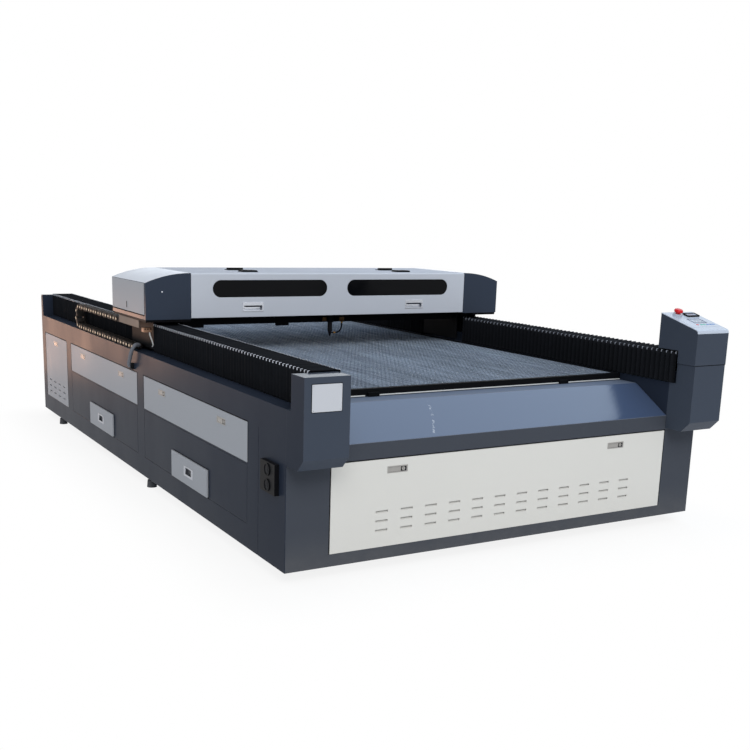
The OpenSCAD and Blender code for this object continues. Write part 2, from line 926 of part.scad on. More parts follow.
// Carriages that run on the side rails: bearing blocks, covers and floor plates
module side_carriages() {
    color(black) {
        mirror([1, 0, 0]) side_carriage();
        difference() {
            side_carriage();
            box(
                [lid_hw - 1, lid_hw + 76], [gantry_y, head_y + 16],
                [floor_z - floor_t - 1, floor_z + 1]
            );
        }
    }
}
module side_carriage() {
    wall = 4;
    block_w = rail_s + 24;
    x1 = bellows_x0 + bellows_w;
    difference() {
        union() {
            along_y(carriage_y, carriage_y1)
                polygon([
                    [bellows_x0, bellows_z0 + 12], [bellows_x0, floor_z],
                    [x1, floor_z], [x1, bellows_z0 + 12],
                    [x1 - wall, bellows_z0 + 12], [x1 - wall, floor_z - floor_t],
                    [bellows_x0 + wall, floor_z - floor_t], [bellows_x0 + wall, bellows_z0 + 12]
                ]);
            box([lid_hw, gantry_hw - 3], [gantry_y + 6, gantry_y1 - 6], [floor_z - floor_t, floor_z]);
            for (y = [carriage_y + 20, carriage_y1 - 90])
                box(
                    [rail_x - block_w / 2, rail_x + block_w / 2], [y, y + 70],
                    [rail_z + 2, floor_z - floor_t]
                );
        }
        box(
            [rail_x - rail_s / 2 - fit, rail_x + rail_s / 2 + fit], [carriage_y - past, carriage_y1 + past],
            [rail_z - past, rail_z + rail_s + fit]
        );
    }
}

// Outline of an end cap, with its rounded top falling towards the end
module cap_section(d) {
    steps = 24;
    polygon(concat(
        [[lid_hw, floor_z]], [[gantry_hw - d, floor_z]],
        [for (i = [0:steps])
            let (x = gantry_hw - d + (lid_hw - gantry_hw + d) * i / steps)
            [x, crown(x) - d]]
    ));
}

// End caps of the gantry cover, open towards the lid and behind the end flaps
module gantry_end_caps() {
    color(slate) both() difference() {
        along_y(gantry_y, gantry_y1) cap_section(0);
        along_y(gantry_y + cover_t, gantry_y1 - cover_t)
            polygon(concat(
                [[lid_hw - 1, floor_z - 1], [gantry_hw - cover_t, floor_z - 1]],
                [for (i = [0:24])
                    let (x = gantry_hw - cover_t + (lid_hw - gantry_hw + cover_t) * i / 24)
                    [x, crown(x) - cover_t]],
                [[lid_hw - 1, top_z - cover_t]]
            ));
        box(
            [gantry_hw - cover_t - past, gantry_hw + past], [gantry_y + 34, gantry_y1 - 16],
            [flap_z0 + 8, flap_z1 - 8]
        );
    }
}

// Fixed rear part of the cover with the floor under the laser tube
module rear_cover() {
    y0 = cross_y + cross_d;
    top_y = hinge_y + lid_gap;
    color(silver) along_x(-lid_hw, lid_hw)
        polygon([
            [y0, floor_z], [gantry_y1, floor_z], [gantry_y1, top_z], [top_y, top_z],
            [top_y, top_z - cover_t], [gantry_y1 - cover_t, top_z - cover_t],
            [gantry_y1 - cover_t, floor_z + cover_t], [y0, floor_z + cover_t]
        ]);
}

// Clamps of the laser tube and the two beam-turning mirrors
module tube_mounts() {
    ring = 8;
    width = 30;
    mirror_x = lid_hw + 40;
    color(steel) {
        for (x = [-1, 0, 1] * clamp_x / 2)
            translate([x - width / 2, 0, 0]) difference() {
                union() {
                    box([0, width], [tube_y - 30, tube_y + 30], [floor_z + cover_t, tube_z]);
                    translate([0, tube_y, tube_z]) rotate([0, 90, 0])
                        cylinder(d = tube_dia + 2 * ring, h = width);
                }
                translate([-1, tube_y, tube_z]) rotate([0, 90, 0])
                    cylinder(d = tube_dia + 2 * fit, h = width + 2);
            }
        for (y = [head_y, tube_y])
            translate([-mirror_x, y, 0]) {
                box([-18, 18], [-18, 18], [floor_z, tube_z - 16]);
                translate([0, 0, tube_z]) rotate([0, 0, y == head_y ? 45 : -45]) {
                    box([-6, 6], [-24, 24], [-24, 24]);
                    rotate([0, 90, 0]) cylinder(d = 30, h = 12);
                }
            }
    }
}

// Glass laser tube with stepped ends
module laser_tube() {
    r = tube_dia / 2;
    color("#dfe8ee")
        translate([-tube_hl, tube_y, tube_z]) rotate([0, 90, 0])
            rotate_extrude()
                polygon([
                    [0, 0], [14, 0], [14, 20], [24, 20], [24, 60], [r, 76],
                    [r, 2 * tube_hl - 76], [24, 2 * tube_hl - 60], [24, 2 * tube_hl - 20],
                    [14, 2 * tube_hl - 20], [14, 2 * tube_hl], [0, 2 * tube_hl]
                ]);
}

// Rail of the laser head on the cross beam's front
module x_rail() {
    color(steel)
        box([8 - lid_hw, lid_hw - 8], [cross_y - 15, cross_y], [x_rail_z, x_rail_z + rail_s]);
}

// Plate that ties the moving end of the drag chain to the gantry
module chain_arm() {
    x0 = chain_x - link_w / 2 - 8;
    x1 = chain_x + link_w / 2;
    z0 = chain_z1 - link_h / 2;
    color(light_grey) {
        box([x0, x0 + 4], [carriage_y + 26, chain_tie - fit], [z0 + 6, floor_z - floor_t]);
        box([x0 + 4, x1], [chain_tie - fit - 8, chain_tie - fit], [z0 + 6, floor_z - floor_t]);
    }
}

// Fixed hinge leaves with their pins
module lid_hinge_bases() {
    color(black)
        for (s = [-1, 1])
            translate([s * hinge_x / 2, hinge_y, 0]) {
                box([-1.5, 1.5] * knuckle_l, [knuckle_r + 1.5, leaf_d], [top_z, top_z + 3]);
                for (x = [-1.5, 0.5] * knuckle_l) {
                    translate([x, 0, hinge_z]) rotate([0, 90, 0]) cylinder(r = knuckle_r, h = knuckle_l);
                    box([x, x + knuckle_l], [0, knuckle_r + 1.5], [top_z + fit, top_z + 3]);
                }
                translate([-knuckle_l / 2, 0, hinge_z]) rotate([0, 90, 0]) cylinder(r = 2.5, h = knuckle_l);
            }
}

// Lid: front, top and lower lip folded from one sheet
module lid() {
    r = 8;
    hw_lid = lid_hw - lid_gap;
    y1 = hinge_y - lid_gap;
    outer = arc([gantry_y + r, top_z - r], r, 180, 90, 6);
    inner = arc([gantry_y + r, top_z - r], r - cover_t, 90, 180, 6);
    color(silver) difference() {
        along_x(-hw_lid, hw_lid)
            polygon(concat(
                [[gantry_y, lid_z]], outer, [[y1, top_z], [y1, top_z - cover_t]], inner,
                [[gantry_y + cover_t, lid_z + cover_t], [gantry_y + 18, lid_z + cover_t],
                 [gantry_y + 18, lid_z]]
            ));
        for (s = [-1, 1]) {
            on_front(s * window_x / 2, gantry_y + cover_t + past, window_mid())
                linear_extrude(cover_t + 2 * past) stadium(window_l, window_h);
            on_front(s * pull_x / 2, gantry_y + cover_t + past, pull_mid())
                linear_extrude(cover_t + 2 * past) square([pull_l - 10, pull_h - 10], center = true);
        }
    }
}
function window_mid() = top_z - 78;
function pull_mid() = lid_z + 51;

// Tinted windows behind the lid's openings
module lid_windows() {
    color("#1c2026", 0.85)
        for (s = [-1, 1])
            on_front(s * window_x / 2, gantry_y + cover_t + 4, window_mid())
                linear_extrude(4) stadium(window_l + 16, window_h + 16);
}

// Recessed pulls with a finger pocket under an overhanging lip
module lid_handles() {
    depth = 24;
    wall = 2;
    color("#d8dade")
        for (s = [-1, 1])
            on_front(s * pull_x / 2, gantry_y, pull_mid())
                difference() {
                    union() {
                        linear_extrude(2) square([pull_l, pull_h], center = true);
                        translate([0, 0, -depth]) linear_extrude(depth)
                            square([pull_l - 10, pull_h - 10], center = true);
                    }
                    translate([0, 0, wall - depth]) linear_extrude(depth - 2 * wall)
                        square([pull_l - 14, pull_h - 14], center = true);
                    translate([7 - pull_l / 2, 7 - pull_h / 2, -wall - 1])
                        cube([pull_l - 14, pull_h - 24, wall + past]);
                }
}

// Moving hinge leaves on the lid, each with a stop block further forward
module lid_hinge_leaves() {
    eye = knuckle_l / 2 - fit;
    color(black)
        for (s = [-1, 1])
            translate([s * hinge_x / 2, hinge_y, 0]) {
                difference() {
                    union() {
                        box([-1.5, 1.5] * knuckle_l, [-leaf_d, -knuckle_r - 1.5], [top_z, top_z + 3]);
                        box([-eye, eye], [-knuckle_r - 1.5, 0], [top_z + fit, top_z + 3]);
                        translate([-eye, 0, hinge_z]) rotate([0, 90, 0])
                            cylinder(r = knuckle_r, h = 2 * eye);
                    }
                    translate([-eye - 1, 0, hinge_z]) rotate([0, 90, 0])
                        cylinder(r = 2.5 + 0.1, h = 2 * eye + 2);
                }
                along_y(-stop_in - 29, 29 - stop_in)
                    polygon([[-45, top_z], [45, top_z], [38, top_z + 9], [-38, top_z + 9]]);
            }
}

// End flap with its slot lock
module end_flap() {
    x0 = gantry_hw + fit;
    color(light_grey) {
        box([x0, x0 + flap_t], [gantry_y + 16, gantry_y1 - 5], [flap_z0, flap_z1]);
        translate([x0 + flap_t, (gantry_y + gantry_y1) / 2 + 16, flap_z0 + 31]) rotate([90, 0, 90])
            linear_extrude(1.5) rotate(90) stadium(34, 12);
    }
}
module left_end_flap() {
    mirror([1, 0, 0]) end_flap();
}
module right_end_flap() {
    end_flap();
}

// Carriage of the laser head with its mirror housing and lens clamp
module head_carriage() {
    y1 = cross_y - fit;
    r = lens_dia / 2;
    color(black) difference() {
        union() {
            box([-38, 38], [head_y + 22, y1], [x_rail_z - 25, x_rail_z + rail_s + 25]);
            along_x(-22, 22)
                polygon([
                    [head_y - 22, floor_z + 6], [head_y + 22, floor_z + 6], [head_y + 22, floor_z + 62],
                    [head_y, floor_z + 62], [head_y - 22, floor_z + 40]
                ]);
            translate([0, head_y, head_low + 8]) cylinder(r = r + 6, h = floor_z - head_low - 2);
            box([22, 88], [head_y + 4, head_y + 10], [floor_z + 6, floor_z + 24]);
            box([60, 88], [head_y + 4, head_y + 10], [floor_z - 38, floor_z + 24]);
            box([60, 88], [head_y - 12, head_y + 10], [floor_z - 38, floor_z - 34]);
        }
        box([-39, 39], [cross_y - 15 - fit, cross_y], [x_rail_z - fit, x_rail_z + rail_s + fit]);
        translate([0, head_y, head_low]) cylinder(r = r + 0.1, h = floor_z - head_low + 40);
    }
}

// Hose that brings the assist air to the nozzle
module air_hose() {
    a = [30, head_y, tip_z + 18];
    b = [73, head_y, floor_z - 38];
    d = b - a;
    color(black)
        translate(a) rotate([0, atan2(d[0], d[2]), 0])
            intersection() {
                cylinder(d = hose_dia, h = norm(d) - 4);
                translate([0, 0, 6]) cylinder(d = hose_dia + 1, h = norm(d));
            }
}

// Lens tube with its cone and air inlet
module nozzle() {
    r = lens_dia / 2;
    color("#c9a45c") {
        translate([0, head_y, 0]) rotate_extrude()
            polygon([
                [0, tip_z], [3, tip_z], [r - 2, tip_z + 26],
                [r, tip_z + 26], [r, floor_z + 12], [0, floor_z + 12]
            ]);
        translate([0, head_y, tip_z + 18]) rotate([0, 90, 0]) cylinder(r = 3.5, h = 30);
    }
}

// Tray of a flush latch with its lock: X along it, Y up, Z out of the door
module latch_bezel() {
    difference() {
        union() {
            linear_extrude(1.5) square([bezel_w, bezel_h], center = true);
            translate([0, 0, -tray_d]) linear_extrude(tray_d) square([tray_w, tray_h], center = true);
        }
        translate([0, 0, 2 - tray_d]) linear_extrude(tray_d + past)
            square([pocket_w, pocket_h], center = true);
    }
    translate([lock_x, 0, 1 - tray_d]) difference() {
        cylinder(d = lock_d, h = tray_d);
        translate([0, 0, tray_d - 2]) linear_extrude(past) square([1.6, 9], center = true);
    }
}

// Paddle of a flush latch, with its barrel at the upper edge
module latch_paddle() {
    top = pocket_h / 2 - fit - barrel_r;
    x0 = fit + 0.1 - pocket_w / 2;
    l = lock_x - lock_d / 2 - 5 - x0;
    color(black) {
        translate([x0, fit + 0.1 - pocket_h / 2, -1]) cube([l, top + pocket_h / 2 - fit - 0.1, 2]);
        translate([x0, top, 0]) rotate([0, 90, 0]) cylinder(r = barrel_r, h = l);
    }
}

// Folded door: X across, Y up, Z out of its face
module pan(w, h) {
    difference() {
        translate([-w / 2, 0, -door_fold]) cube([w, h, door_fold]);
        translate([door_t - w / 2, door_t, -door_fold - 1])
            cube([w - 2 * door_t, h - 2 * door_t, door_fold + 1 - door_t]);
        children();
    }
}
module latch_hole() {
    translate([0, 0, -door_t - past]) linear_extrude(door_t + 2 * past)
        square([tray_w, tray_h], center = true);
}

// Louvers in columns and rows, centred across a door's face
module louvers(n, rows) {
    for (i = [0:n - 1])
        for (y = rows)
            translate([(i - (n - 1) / 2) * louver_pitch - louver_l / 2, y, 0]) children();
}
module louver_slots(n, rows) {
    louvers(n, rows)
        translate([0, 0, -door_t - past]) cube([louver_l, louver_h, door_t + 2 * past]);
}
module louver_flaps(n, rows) {
    louvers(n, rows)
        rotate([90, 0, 90]) linear_extrude(louver_l)
            polygon([[-2, -0.5], [-2, -1.5], [2.5, -7], [3.5, -6.2], [0.3, -0.5]]);
}

// Front door with louvers and two latch trays
module front_door() {
    latch_y = door_h - 44;
    rows = [for (i = [0:2]) 139 - i * louver_row];
    color(cream) on_front(0, -1, door_z) {
        pan(2 * door_hw, door_h) {
            for (s = [-1, 1])
                translate([s * door_latch_x, latch_y, 0]) latch_hole();
            louver_slots(louver_n, rows);
        }
        louver_flaps(louver_n, rows);
        for (s = [-1, 1])
            translate([s * door_latch_x, latch_y, 0]) latch_bezel();
    }
}

// Access panel on the left side, with its latch trays and any rows of louvers
module side_panel(p, latches, rows = []) {
    m = middle(p);
    color(light_grey) on_left(-hw, m, p[2]) {
        pan(p[1] - p[0], p[3] - p[2]) {
            for (y = latches)
                translate([m - y, latch_z - p[2], 0]) latch_hole();
            louver_slots(vent_n, rows);
        }
        louver_flaps(vent_n, rows);
        for (y = latches)
            translate([m - y, latch_z - p[2], 0]) latch_bezel();
    }
}
module left_front_panel() {
    side_panel(front_panel_at, [front_panel_at[0] + latch_in, front_panel_at[1] - latch_in]);
}
module left_mid_panel() {
    side_panel(mid_panel_at, [mid_panel_at[0] + latch_in, mid_panel_at[1] - latch_in]);
}
module left_rear_panel() {
    side_panel(rear_panel_at, [middle(rear_panel_at)], [for (i = [0:2]) 32 + i * louver_row]);
}

module door_paddle_left() {
    on_front(-door_latch_x, -1, door_z + door_h - 44) latch_paddle();
}
module door_paddle_right() {
    on_front(door_latch_x, -1, door_z + door_h - 44) latch_paddle();
}
module front_panel_paddle_front() {
    on_left(-hw, front_panel_at[0] + latch_in, latch_z) latch_paddle();
}
module front_panel_paddle_rear() {
    on_left(-hw, front_panel_at[1] - latch_in, latch_z) latch_paddle();
}
module mid_panel_paddle_front() {
    on_left(-hw, mid_panel_at[0] + latch_in, latch_z) latch_paddle();
}
module mid_panel_paddle_rear() {
    on_left(-hw, mid_panel_at[1] - latch_in, latch_z) latch_paddle();
}
module rear_panel_paddle() {
    on_left(-hw, middle(rear_panel_at), latch_z) latch_paddle();
}

// Scrap drawer: tray, proud front and rimmed finger pull, in the frame of the left skin
module drawer(m) {
    tray_hw = drawer_w / 2 - 12;
    wall = 2;
    low = 10;
    high = drawer_h - 14;
    face = fit + drawer_proud;
    color(light_grey) on_left(-hw, m, drawer_z) difference() {
        union() {
            translate([-drawer_w / 2, 0, fit]) cube([drawer_w, drawer_h, drawer_proud]);
            translate([0, drawer_h / 2, face - 1])
                linear_extrude(2.5) square([pull_w, pull_rim], center = true);
            translate([-tray_hw, low, -drawer_l]) cube([2 * tray_hw, high - low, drawer_l + 1]);
        }
        translate([wall - tray_hw, low + wall, wall - drawer_l])
            cube([2 * (tray_hw - wall), high, drawer_l - 2 * wall]);
        translate([-mouth_w / 2, drawer_h / 2, 0]) rotate([90, 0, 90]) linear_extrude(mouth_w)
            polygon([
                [-mouth_h / 2, 0], [mouth_h / 2, 0], [mouth_h / 2, face - 4],
                [mouth_h / 2 + 7, face + past], [-mouth_h / 2, face + past]
            ]);
    }
}
module front_drawer() {
    drawer(drawer_mids[0]);
}
module rear_drawer() {
    drawer(drawer_mids[1]);
}

// Mushroom head of the emergency stop on its stem
module estop_button() {
    r = stop_dia / 2;
    low = 10 + stop_travel + 1;
    color("#c01820") on_panel(stop_at) rotate_extrude()
        polygon(concat(
            [[0, -4], [stop_stem, -4], [stop_stem, low], [r - 2, low], [r, low + 3]],
            arc([r - 8, low + 6], 8, 0, 90, 6), [[0, low + 15]]
        ));
}

placed() bottom_frame();
placed() frame_posts();
placed() bed_beams();
placed() left_skin();
placed() right_skin();
placed() front_frame();
placed() rear_skin();
placed() exhaust_spigots();
placed() apron();
placed() bed_frame();
placed() bed_panels();
placed() scrap_chutes();
placed() drawer_runners();
placed() rail_beams();
placed() linear_rails();
placed() left_front_cap();
placed() right_front_cap();
placed() rear_caps();
placed() control_head();
placed() control_panel();
placed() display();
placed() ammeter();
placed() front_bellows();
placed() rear_bellows();
placed() drag_chain();
placed() chain_conduit();
placed() socket_box();
placed() levelling_feet();
placed() gantry_beam();
placed() side_carriages();
placed() gantry_end_caps();
placed() rear_cover();
placed() tube_mounts();
placed() laser_tube();
placed() x_rail();
placed() chain_arm();
placed() lid_hinge_bases();
placed() lid();
placed() lid_windows();
placed() lid_handles();
placed() lid_hinge_leaves();
placed() left_end_flap();
placed() right_end_flap();
placed() head_carriage();
placed() air_hose();
placed() nozzle();
placed() front_door();
placed() left_front_panel();
placed() left_mid_panel();
placed() left_rear_panel();
placed() door_paddle_left();
placed() door_paddle_right();
placed() front_panel_paddle_front();
placed() front_panel_paddle_rear();
placed() mid_panel_paddle_front();
placed() mid_panel_paddle_rear();
placed() rear_panel_paddle();
placed() front_drawer();
placed() rear_drawer();
placed() estop_button();
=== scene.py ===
import math
from functools import cached_property

import bmesh
import bpy
import numpy as np
from mathutils import Matrix, Vector


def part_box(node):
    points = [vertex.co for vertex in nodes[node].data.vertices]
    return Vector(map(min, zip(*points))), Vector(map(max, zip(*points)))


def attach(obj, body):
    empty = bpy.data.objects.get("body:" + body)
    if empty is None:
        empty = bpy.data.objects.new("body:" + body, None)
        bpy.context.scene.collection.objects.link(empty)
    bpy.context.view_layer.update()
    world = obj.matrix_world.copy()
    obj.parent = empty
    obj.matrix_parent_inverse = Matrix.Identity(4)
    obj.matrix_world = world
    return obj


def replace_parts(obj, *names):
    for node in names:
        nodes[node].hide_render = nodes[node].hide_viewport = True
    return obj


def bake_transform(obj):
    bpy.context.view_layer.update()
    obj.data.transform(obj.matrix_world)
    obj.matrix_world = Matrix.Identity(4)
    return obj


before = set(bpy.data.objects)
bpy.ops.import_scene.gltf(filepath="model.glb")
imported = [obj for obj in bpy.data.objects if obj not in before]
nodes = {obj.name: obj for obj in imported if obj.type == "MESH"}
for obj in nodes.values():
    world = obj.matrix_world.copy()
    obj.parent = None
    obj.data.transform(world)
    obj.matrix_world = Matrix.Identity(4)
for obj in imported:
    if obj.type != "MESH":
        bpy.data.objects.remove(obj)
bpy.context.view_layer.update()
scene = bpy.context.scene

# Places below are in millimetres, with Y counted from the front skin as in the part's source
MID = 1840.0
HW = 1050.0
INNER_X = 864.0
LEDGE_Z = 675.0
CAP_Y = -140.0
CAP_BACK = -37.0
GANTRY_Y = 1564.0
HEAD_Y = 1640.0
LATCH_X = 567.0
PULL_X = 487.0
SLACK = 0.2


def at(x, y, z):
    return Vector((x, y - MID, z)) / 1000.0


def corners(name):
    """Lowest and highest corner of a CAD node, in millimetres."""
    return [Vector(c) * 1000.0 + Vector((0, MID, 0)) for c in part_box(name)]


def rgb(r, g, b):
    """Linear colour of an sRGB colour given from 0 to 255."""
    out = []
    for c in (r, g, b):
        c /= 255.0
        out.append(c / 12.92 if c <= 0.04045 else ((c + 0.055) / 1.055) ** 2.4)
    return (*out, 1.0)


def scaled(colour, k):
    return (*(min(1.0, c * k) for c in colour[:3]), 1.0)


# Materials

class Tree:
    """Short calls for the nodes of a material or of the world."""

    def __init__(self, tree):
        self.tree = tree

    @cached_property
    def coords(self):
        return self.add("ShaderNodeTexCoord").outputs["Object"]

    def add(self, kind, **values):
        node = self.tree.nodes.new(kind)
        for key, value in values.items():
            setattr(node, key, value)
        return node

    def put(self, socket, value):
        if isinstance(value, bpy.types.NodeSocket):
            self.tree.links.new(value, socket)
        else:
            socket.default_value = value

    def mapped(self, scale):
        node = self.add("ShaderNodeMapping")
        self.put(node.inputs["Vector"], self.coords)
        node.inputs["Scale"].default_value = scale
        return node.outputs["Vector"]

    def noise(self, scale, detail=2.0, rough=0.5, stretch=None):
        node = self.add("ShaderNodeTexNoise")
        self.put(node.inputs["Vector"], self.mapped(stretch) if stretch else self.coords)
        node.inputs["Scale"].default_value = scale
        node.inputs["Detail"].default_value = detail
        node.inputs["Roughness"].default_value = rough
        return node.outputs["Fac"]

    def math(self, operation, a, b=0.0, c=0.0):
        node = self.add("ShaderNodeMath", operation=operation)
        for socket, value in zip(node.inputs, (a, b, c)):
            self.put(socket, value)
        return node.outputs[0]

    def span(self, value, low, high, to_low=0.0, to_high=1.0, smooth=False):
        node = self.add("ShaderNodeMapRange", interpolation_type="SMOOTHSTEP" if smooth else "LINEAR")
        self.put(node.inputs["Value"], value)
        for key, number in (("From Min", low), ("From Max", high), ("To Min", to_low), ("To Max", to_high)):
            node.inputs[key].default_value = number
        return node.outputs["Result"]

    def mix(self, factor, a, b, blend="MIX"):
        node = self.add("ShaderNodeMix", data_type="RGBA", blend_type=blend)
        colours = [socket for socket in node.inputs if socket.type == "RGBA"]
        for socket, value in zip((node.inputs["Factor"], *colours), (factor, a, b)):
            self.put(socket, value)
        return next(socket for socket in node.outputs if socket.type == "RGBA")

    def axis(self, which):
        node = self.add("ShaderNodeSeparateXYZ")
        self.put(node.inputs[0], self.coords)
        return node.outputs[which]

    def mixed(self, share, a, b):
        """One shader turning into another."""
        node = self.add("ShaderNodeMixShader")
        for socket, value in zip(node.inputs, (share, a, b)):
            self.put(socket, value)
        return node.outputs[0]

    def background_rays(self):
        """One for rays that see the background, straight, in a gloss or through glass, and else zero."""
        path = self.add("ShaderNodeLightPath").outputs
        second = self.math("MAXIMUM", path["Is Glossy Ray"], path["Is Transmission Ray"])
        return self.math("MAXIMUM", path["Is Camera Ray"], second)


class Shader(Tree):
    """A Principled material."""

    def __init__(self, name, base, rough, metal=0.0, spec=0.5):
        self.mat = bpy.data.materials.new(name)
        self.mat.use_nodes = True
        super().__init__(self.mat.node_tree)
        self.bsdf = self.tree.nodes["Principled BSDF"]
        self.normal = None
        self.set("Base Color", base)
        self.set("Roughness", rough)
        self.set("Metallic", metal)
        self.set("Specular IOR Level", spec)

    def set(self, name, value):
        self.put(self.bsdf.inputs[name], value)

    def edges(self, radius, low=0.0, high=0.25):
        """Mask of the edges, where a rounded normal turns off the flat one. Rounds the normal too."""
        bevel = self.add("ShaderNodeBevel", samples=4)
        bevel.inputs["Radius"].default_value = radius
        self.normal = bevel.outputs["Normal"]
        plain = self.add("ShaderNodeNewGeometry").outputs["True Normal"]
        dot = self.add("ShaderNodeVectorMath", operation="DOT_PRODUCT")
        self.put(dot.inputs[0], bevel.outputs["Normal"])
        self.put(dot.inputs[1], plain)
        turned = self.math("SUBTRACT", 1.0, dot.outputs["Value"])
        return self.span(turned, low, high)

    def bump(self, height, strength, distance):
        node = self.add("ShaderNodeBump")
        self.put(node.inputs["Height"], height)
        node.inputs["Strength"].default_value = strength
        node.inputs["Distance"].default_value = distance
        if self.normal is not None:
            self.put(node.inputs["Normal"], self.normal)
        self.normal = node.outputs["Normal"]

    def done(self):
        if self.normal is not None:
            self.set("Normal", self.normal)
        return self.mat


def paint(name, base, rough, spec, wear_and_highlight_colour, tone=0.06, rub_and_highlight=(0.15, 0.5), edge=0.0016, dust=0.0):
    """Sprayed sheet paint: slow changes of tone, orange peel, faint smears in the gloss and lighter edges,
    partly rubbed wear and partly painted highlights, which are strongest on the light and silver paints.
    """
    s = Shader(name, base, rough, spec=spec)
    cloud = s.noise(1.3, 3.0, 0.55)
    colour = s.mix(cloud, scaled(base, 1 - tone), scaled(base, 1 + tone))
    speck = s.span(s.noise(900.0, 1.0), 0.35, 0.65, 1 - tone / 2, 1 + tone / 2)
    colour = s.mix(1.0, colour, speck, "MULTIPLY")
    if dust:
        low = s.span(s.axis(2), 0.02, 0.22, dust, 0.0, True)
        low = s.math("MULTIPLY", low, s.noise(9.0, 4.0, 0.6))
        colour = s.mix(low, colour, rgb(150, 146, 140))
    # Lighter edges: rubbed wear, and where the rub is strong and wide a painted highlight along the edges
    wear_and_highlight = s.math("MULTIPLY", s.edges(edge), s.span(s.noise(38.0, 3.0, 0.6), 0.42, 0.7, *rub_and_highlight))
    s.set("Base Color", s.mix(wear_and_highlight, colour, wear_and_highlight_colour))
    smear = s.noise(3.2, 4.0, 0.6, stretch=(1.0, 1.0, 0.45))
    s.set("Roughness", s.span(smear, 0.3, 0.7, rough - 0.06, rough + 0.06))
    s.bump(s.noise(420.0, 1.5), 0.05, 0.0006)
    return s.done()


def apron_paint_and_sky_tint():
    """The slope in front of the bed: a glossier coat, with one pale scuffed trail across its left part. Its
    blue tint is partly a painted reflection of the sky.
    """
    # Bluer than the front frame's paint: partly a painted reflection of the sky
    base = rgb(66, 81, 109)
    s = Shader("apron_paint_and_sky_tint", base, 0.16, spec=0.45)
    cloud = s.noise(1.1, 3.0, 0.55)
    colour = s.mix(cloud, scaled(base, 0.94), scaled(base, 1.06))
    depth = s.math("ADD", s.axis(1), MID / 1000.0)
    line = s.math("MULTIPLY_ADD", depth, 0.74, -0.405)
    line = s.math("MULTIPLY_ADD", s.math("MULTIPLY", depth, depth), -1.45, line)
    off = s.math("ABSOLUTE", s.math("SUBTRACT", s.axis(0), line))
    trail = s.span(off, 0.002, 0.009, 1.0, 0.0, True)
    trail = s.math("MULTIPLY", trail, s.span(s.noise(75.0, 4.0, 0.7), 0.52, 0.62))
    trail = s.math("MULTIPLY", trail, s.span(depth, 0.008, 0.02))
    trail = s.math("MULTIPLY", trail, s.span(depth, 0.15, 0.19, 1.0, 0.0))
    colour = s.mix(s.math("MULTIPLY", trail, 0.7), colour, rgb(176, 182, 192))
    wear_and_highlight = s.math("MULTIPLY", s.edges(0.003), 0.5)
    s.set("Base Color", s.mix(wear_and_highlight, colour, rgb(150, 155, 165)))
    smear = s.noise(2.4, 4.0, 0.62, stretch=(0.5, 1.4, 1.4))
    s.set("Roughness", s.span(smear, 0.3, 0.7, 0.11, 0.21))
    s.bump(s.noise(380.0, 1.5), 0.05, 0.0006)
    return s.done()


def brushed(name, base, rough, along, metal=1.0, tone=0.12, spec=0.5):
    """Metal with fine brush lines along one axis."""
    s = Shader(name, base, rough, metal=metal, spec=spec)
    stretch = [260.0, 260.0, 260.0]
    stretch[along] = 4.0
    lines = s.noise(1.0, 3.0, 0.6, stretch=stretch)
    s.set("Base Color", s.mix(lines, scaled(base, 1 - tone), scaled(base, 1 + tone)))
    s.set("Roughness", s.span(lines, 0.25, 0.75, rough - 0.08, rough + 0.1))
    s.edges(0.0008)
    s.bump(lines, 0.08, 0.0003)
    return s.done()


def moulded(name, base, rough, spec=0.2, grain=0.12, tone=0.08, scale=700.0):
    """Moulded plastic or rubber with a fine spark-eroded grain."""
    s = Shader(name, base, rough, spec=spec)
    cloud = s.noise(14.0, 3.0, 0.55)
    s.set("Base Color", s.mix(cloud, scaled(base, 1 - tone), scaled(base, 1 + tone)))
    fine = s.noise(scale, 2.0, 0.6)
    s.set("Roughness", s.span(fine, 0.3, 0.7, rough - 0.06, rough + 0.06))
    s.edges(0.0007)
    s.bump(fine, grain, 0.0004)
    return s.done()


def honeycomb_metal():
    """Aluminium foil of the bed, with streaks of soot and rub marks along the ribbons, partly painted light
    and shade of the foil walls, and pale specks that are painted glints.
    """
    base = rgb(140, 153, 171)
    s = Shader("honeycomb_metal", base, 0.55, spec=0.15)
    soot_and_shade_streak = s.noise(1.0, 4.0, 0.65, stretch=(24.0, 1.1, 1.0))
    ribbon = s.noise(1.0, 2.0, 0.5, stretch=(150.0, 5.0, 1.0))
    patch = s.noise(2.2, 4.0, 0.6)
    # Streaks and tone from ribbon to ribbon: soot, and painted light and shade of the foil walls
    tone = s.math("MULTIPLY", s.span(soot_and_shade_streak, 0.3, 0.7, 0.74, 1.2), s.span(patch, 0.3, 0.7, 0.84, 1.12))
    tone = s.math("MULTIPLY", tone, s.span(ribbon, 0.3, 0.7, 0.62, 1.3))
    colour = s.mix(1.0, base, tone, "MULTIPLY")
    # Pale specks: painted glints on the foil
    painted_glints = s.span(s.noise(160.0, 2.0, 0.5, stretch=(1.0, 0.35, 1.0)), 0.66, 0.74)
    s.set("Base Color", s.mix(painted_glints, colour, rgb(215, 222, 230)))
    s.set("Roughness", s.span(patch, 0.3, 0.7, 0.34, 0.52))
    s.bump(s.noise(240.0, 2.0), 0.1, 0.0004)
    return s.done()


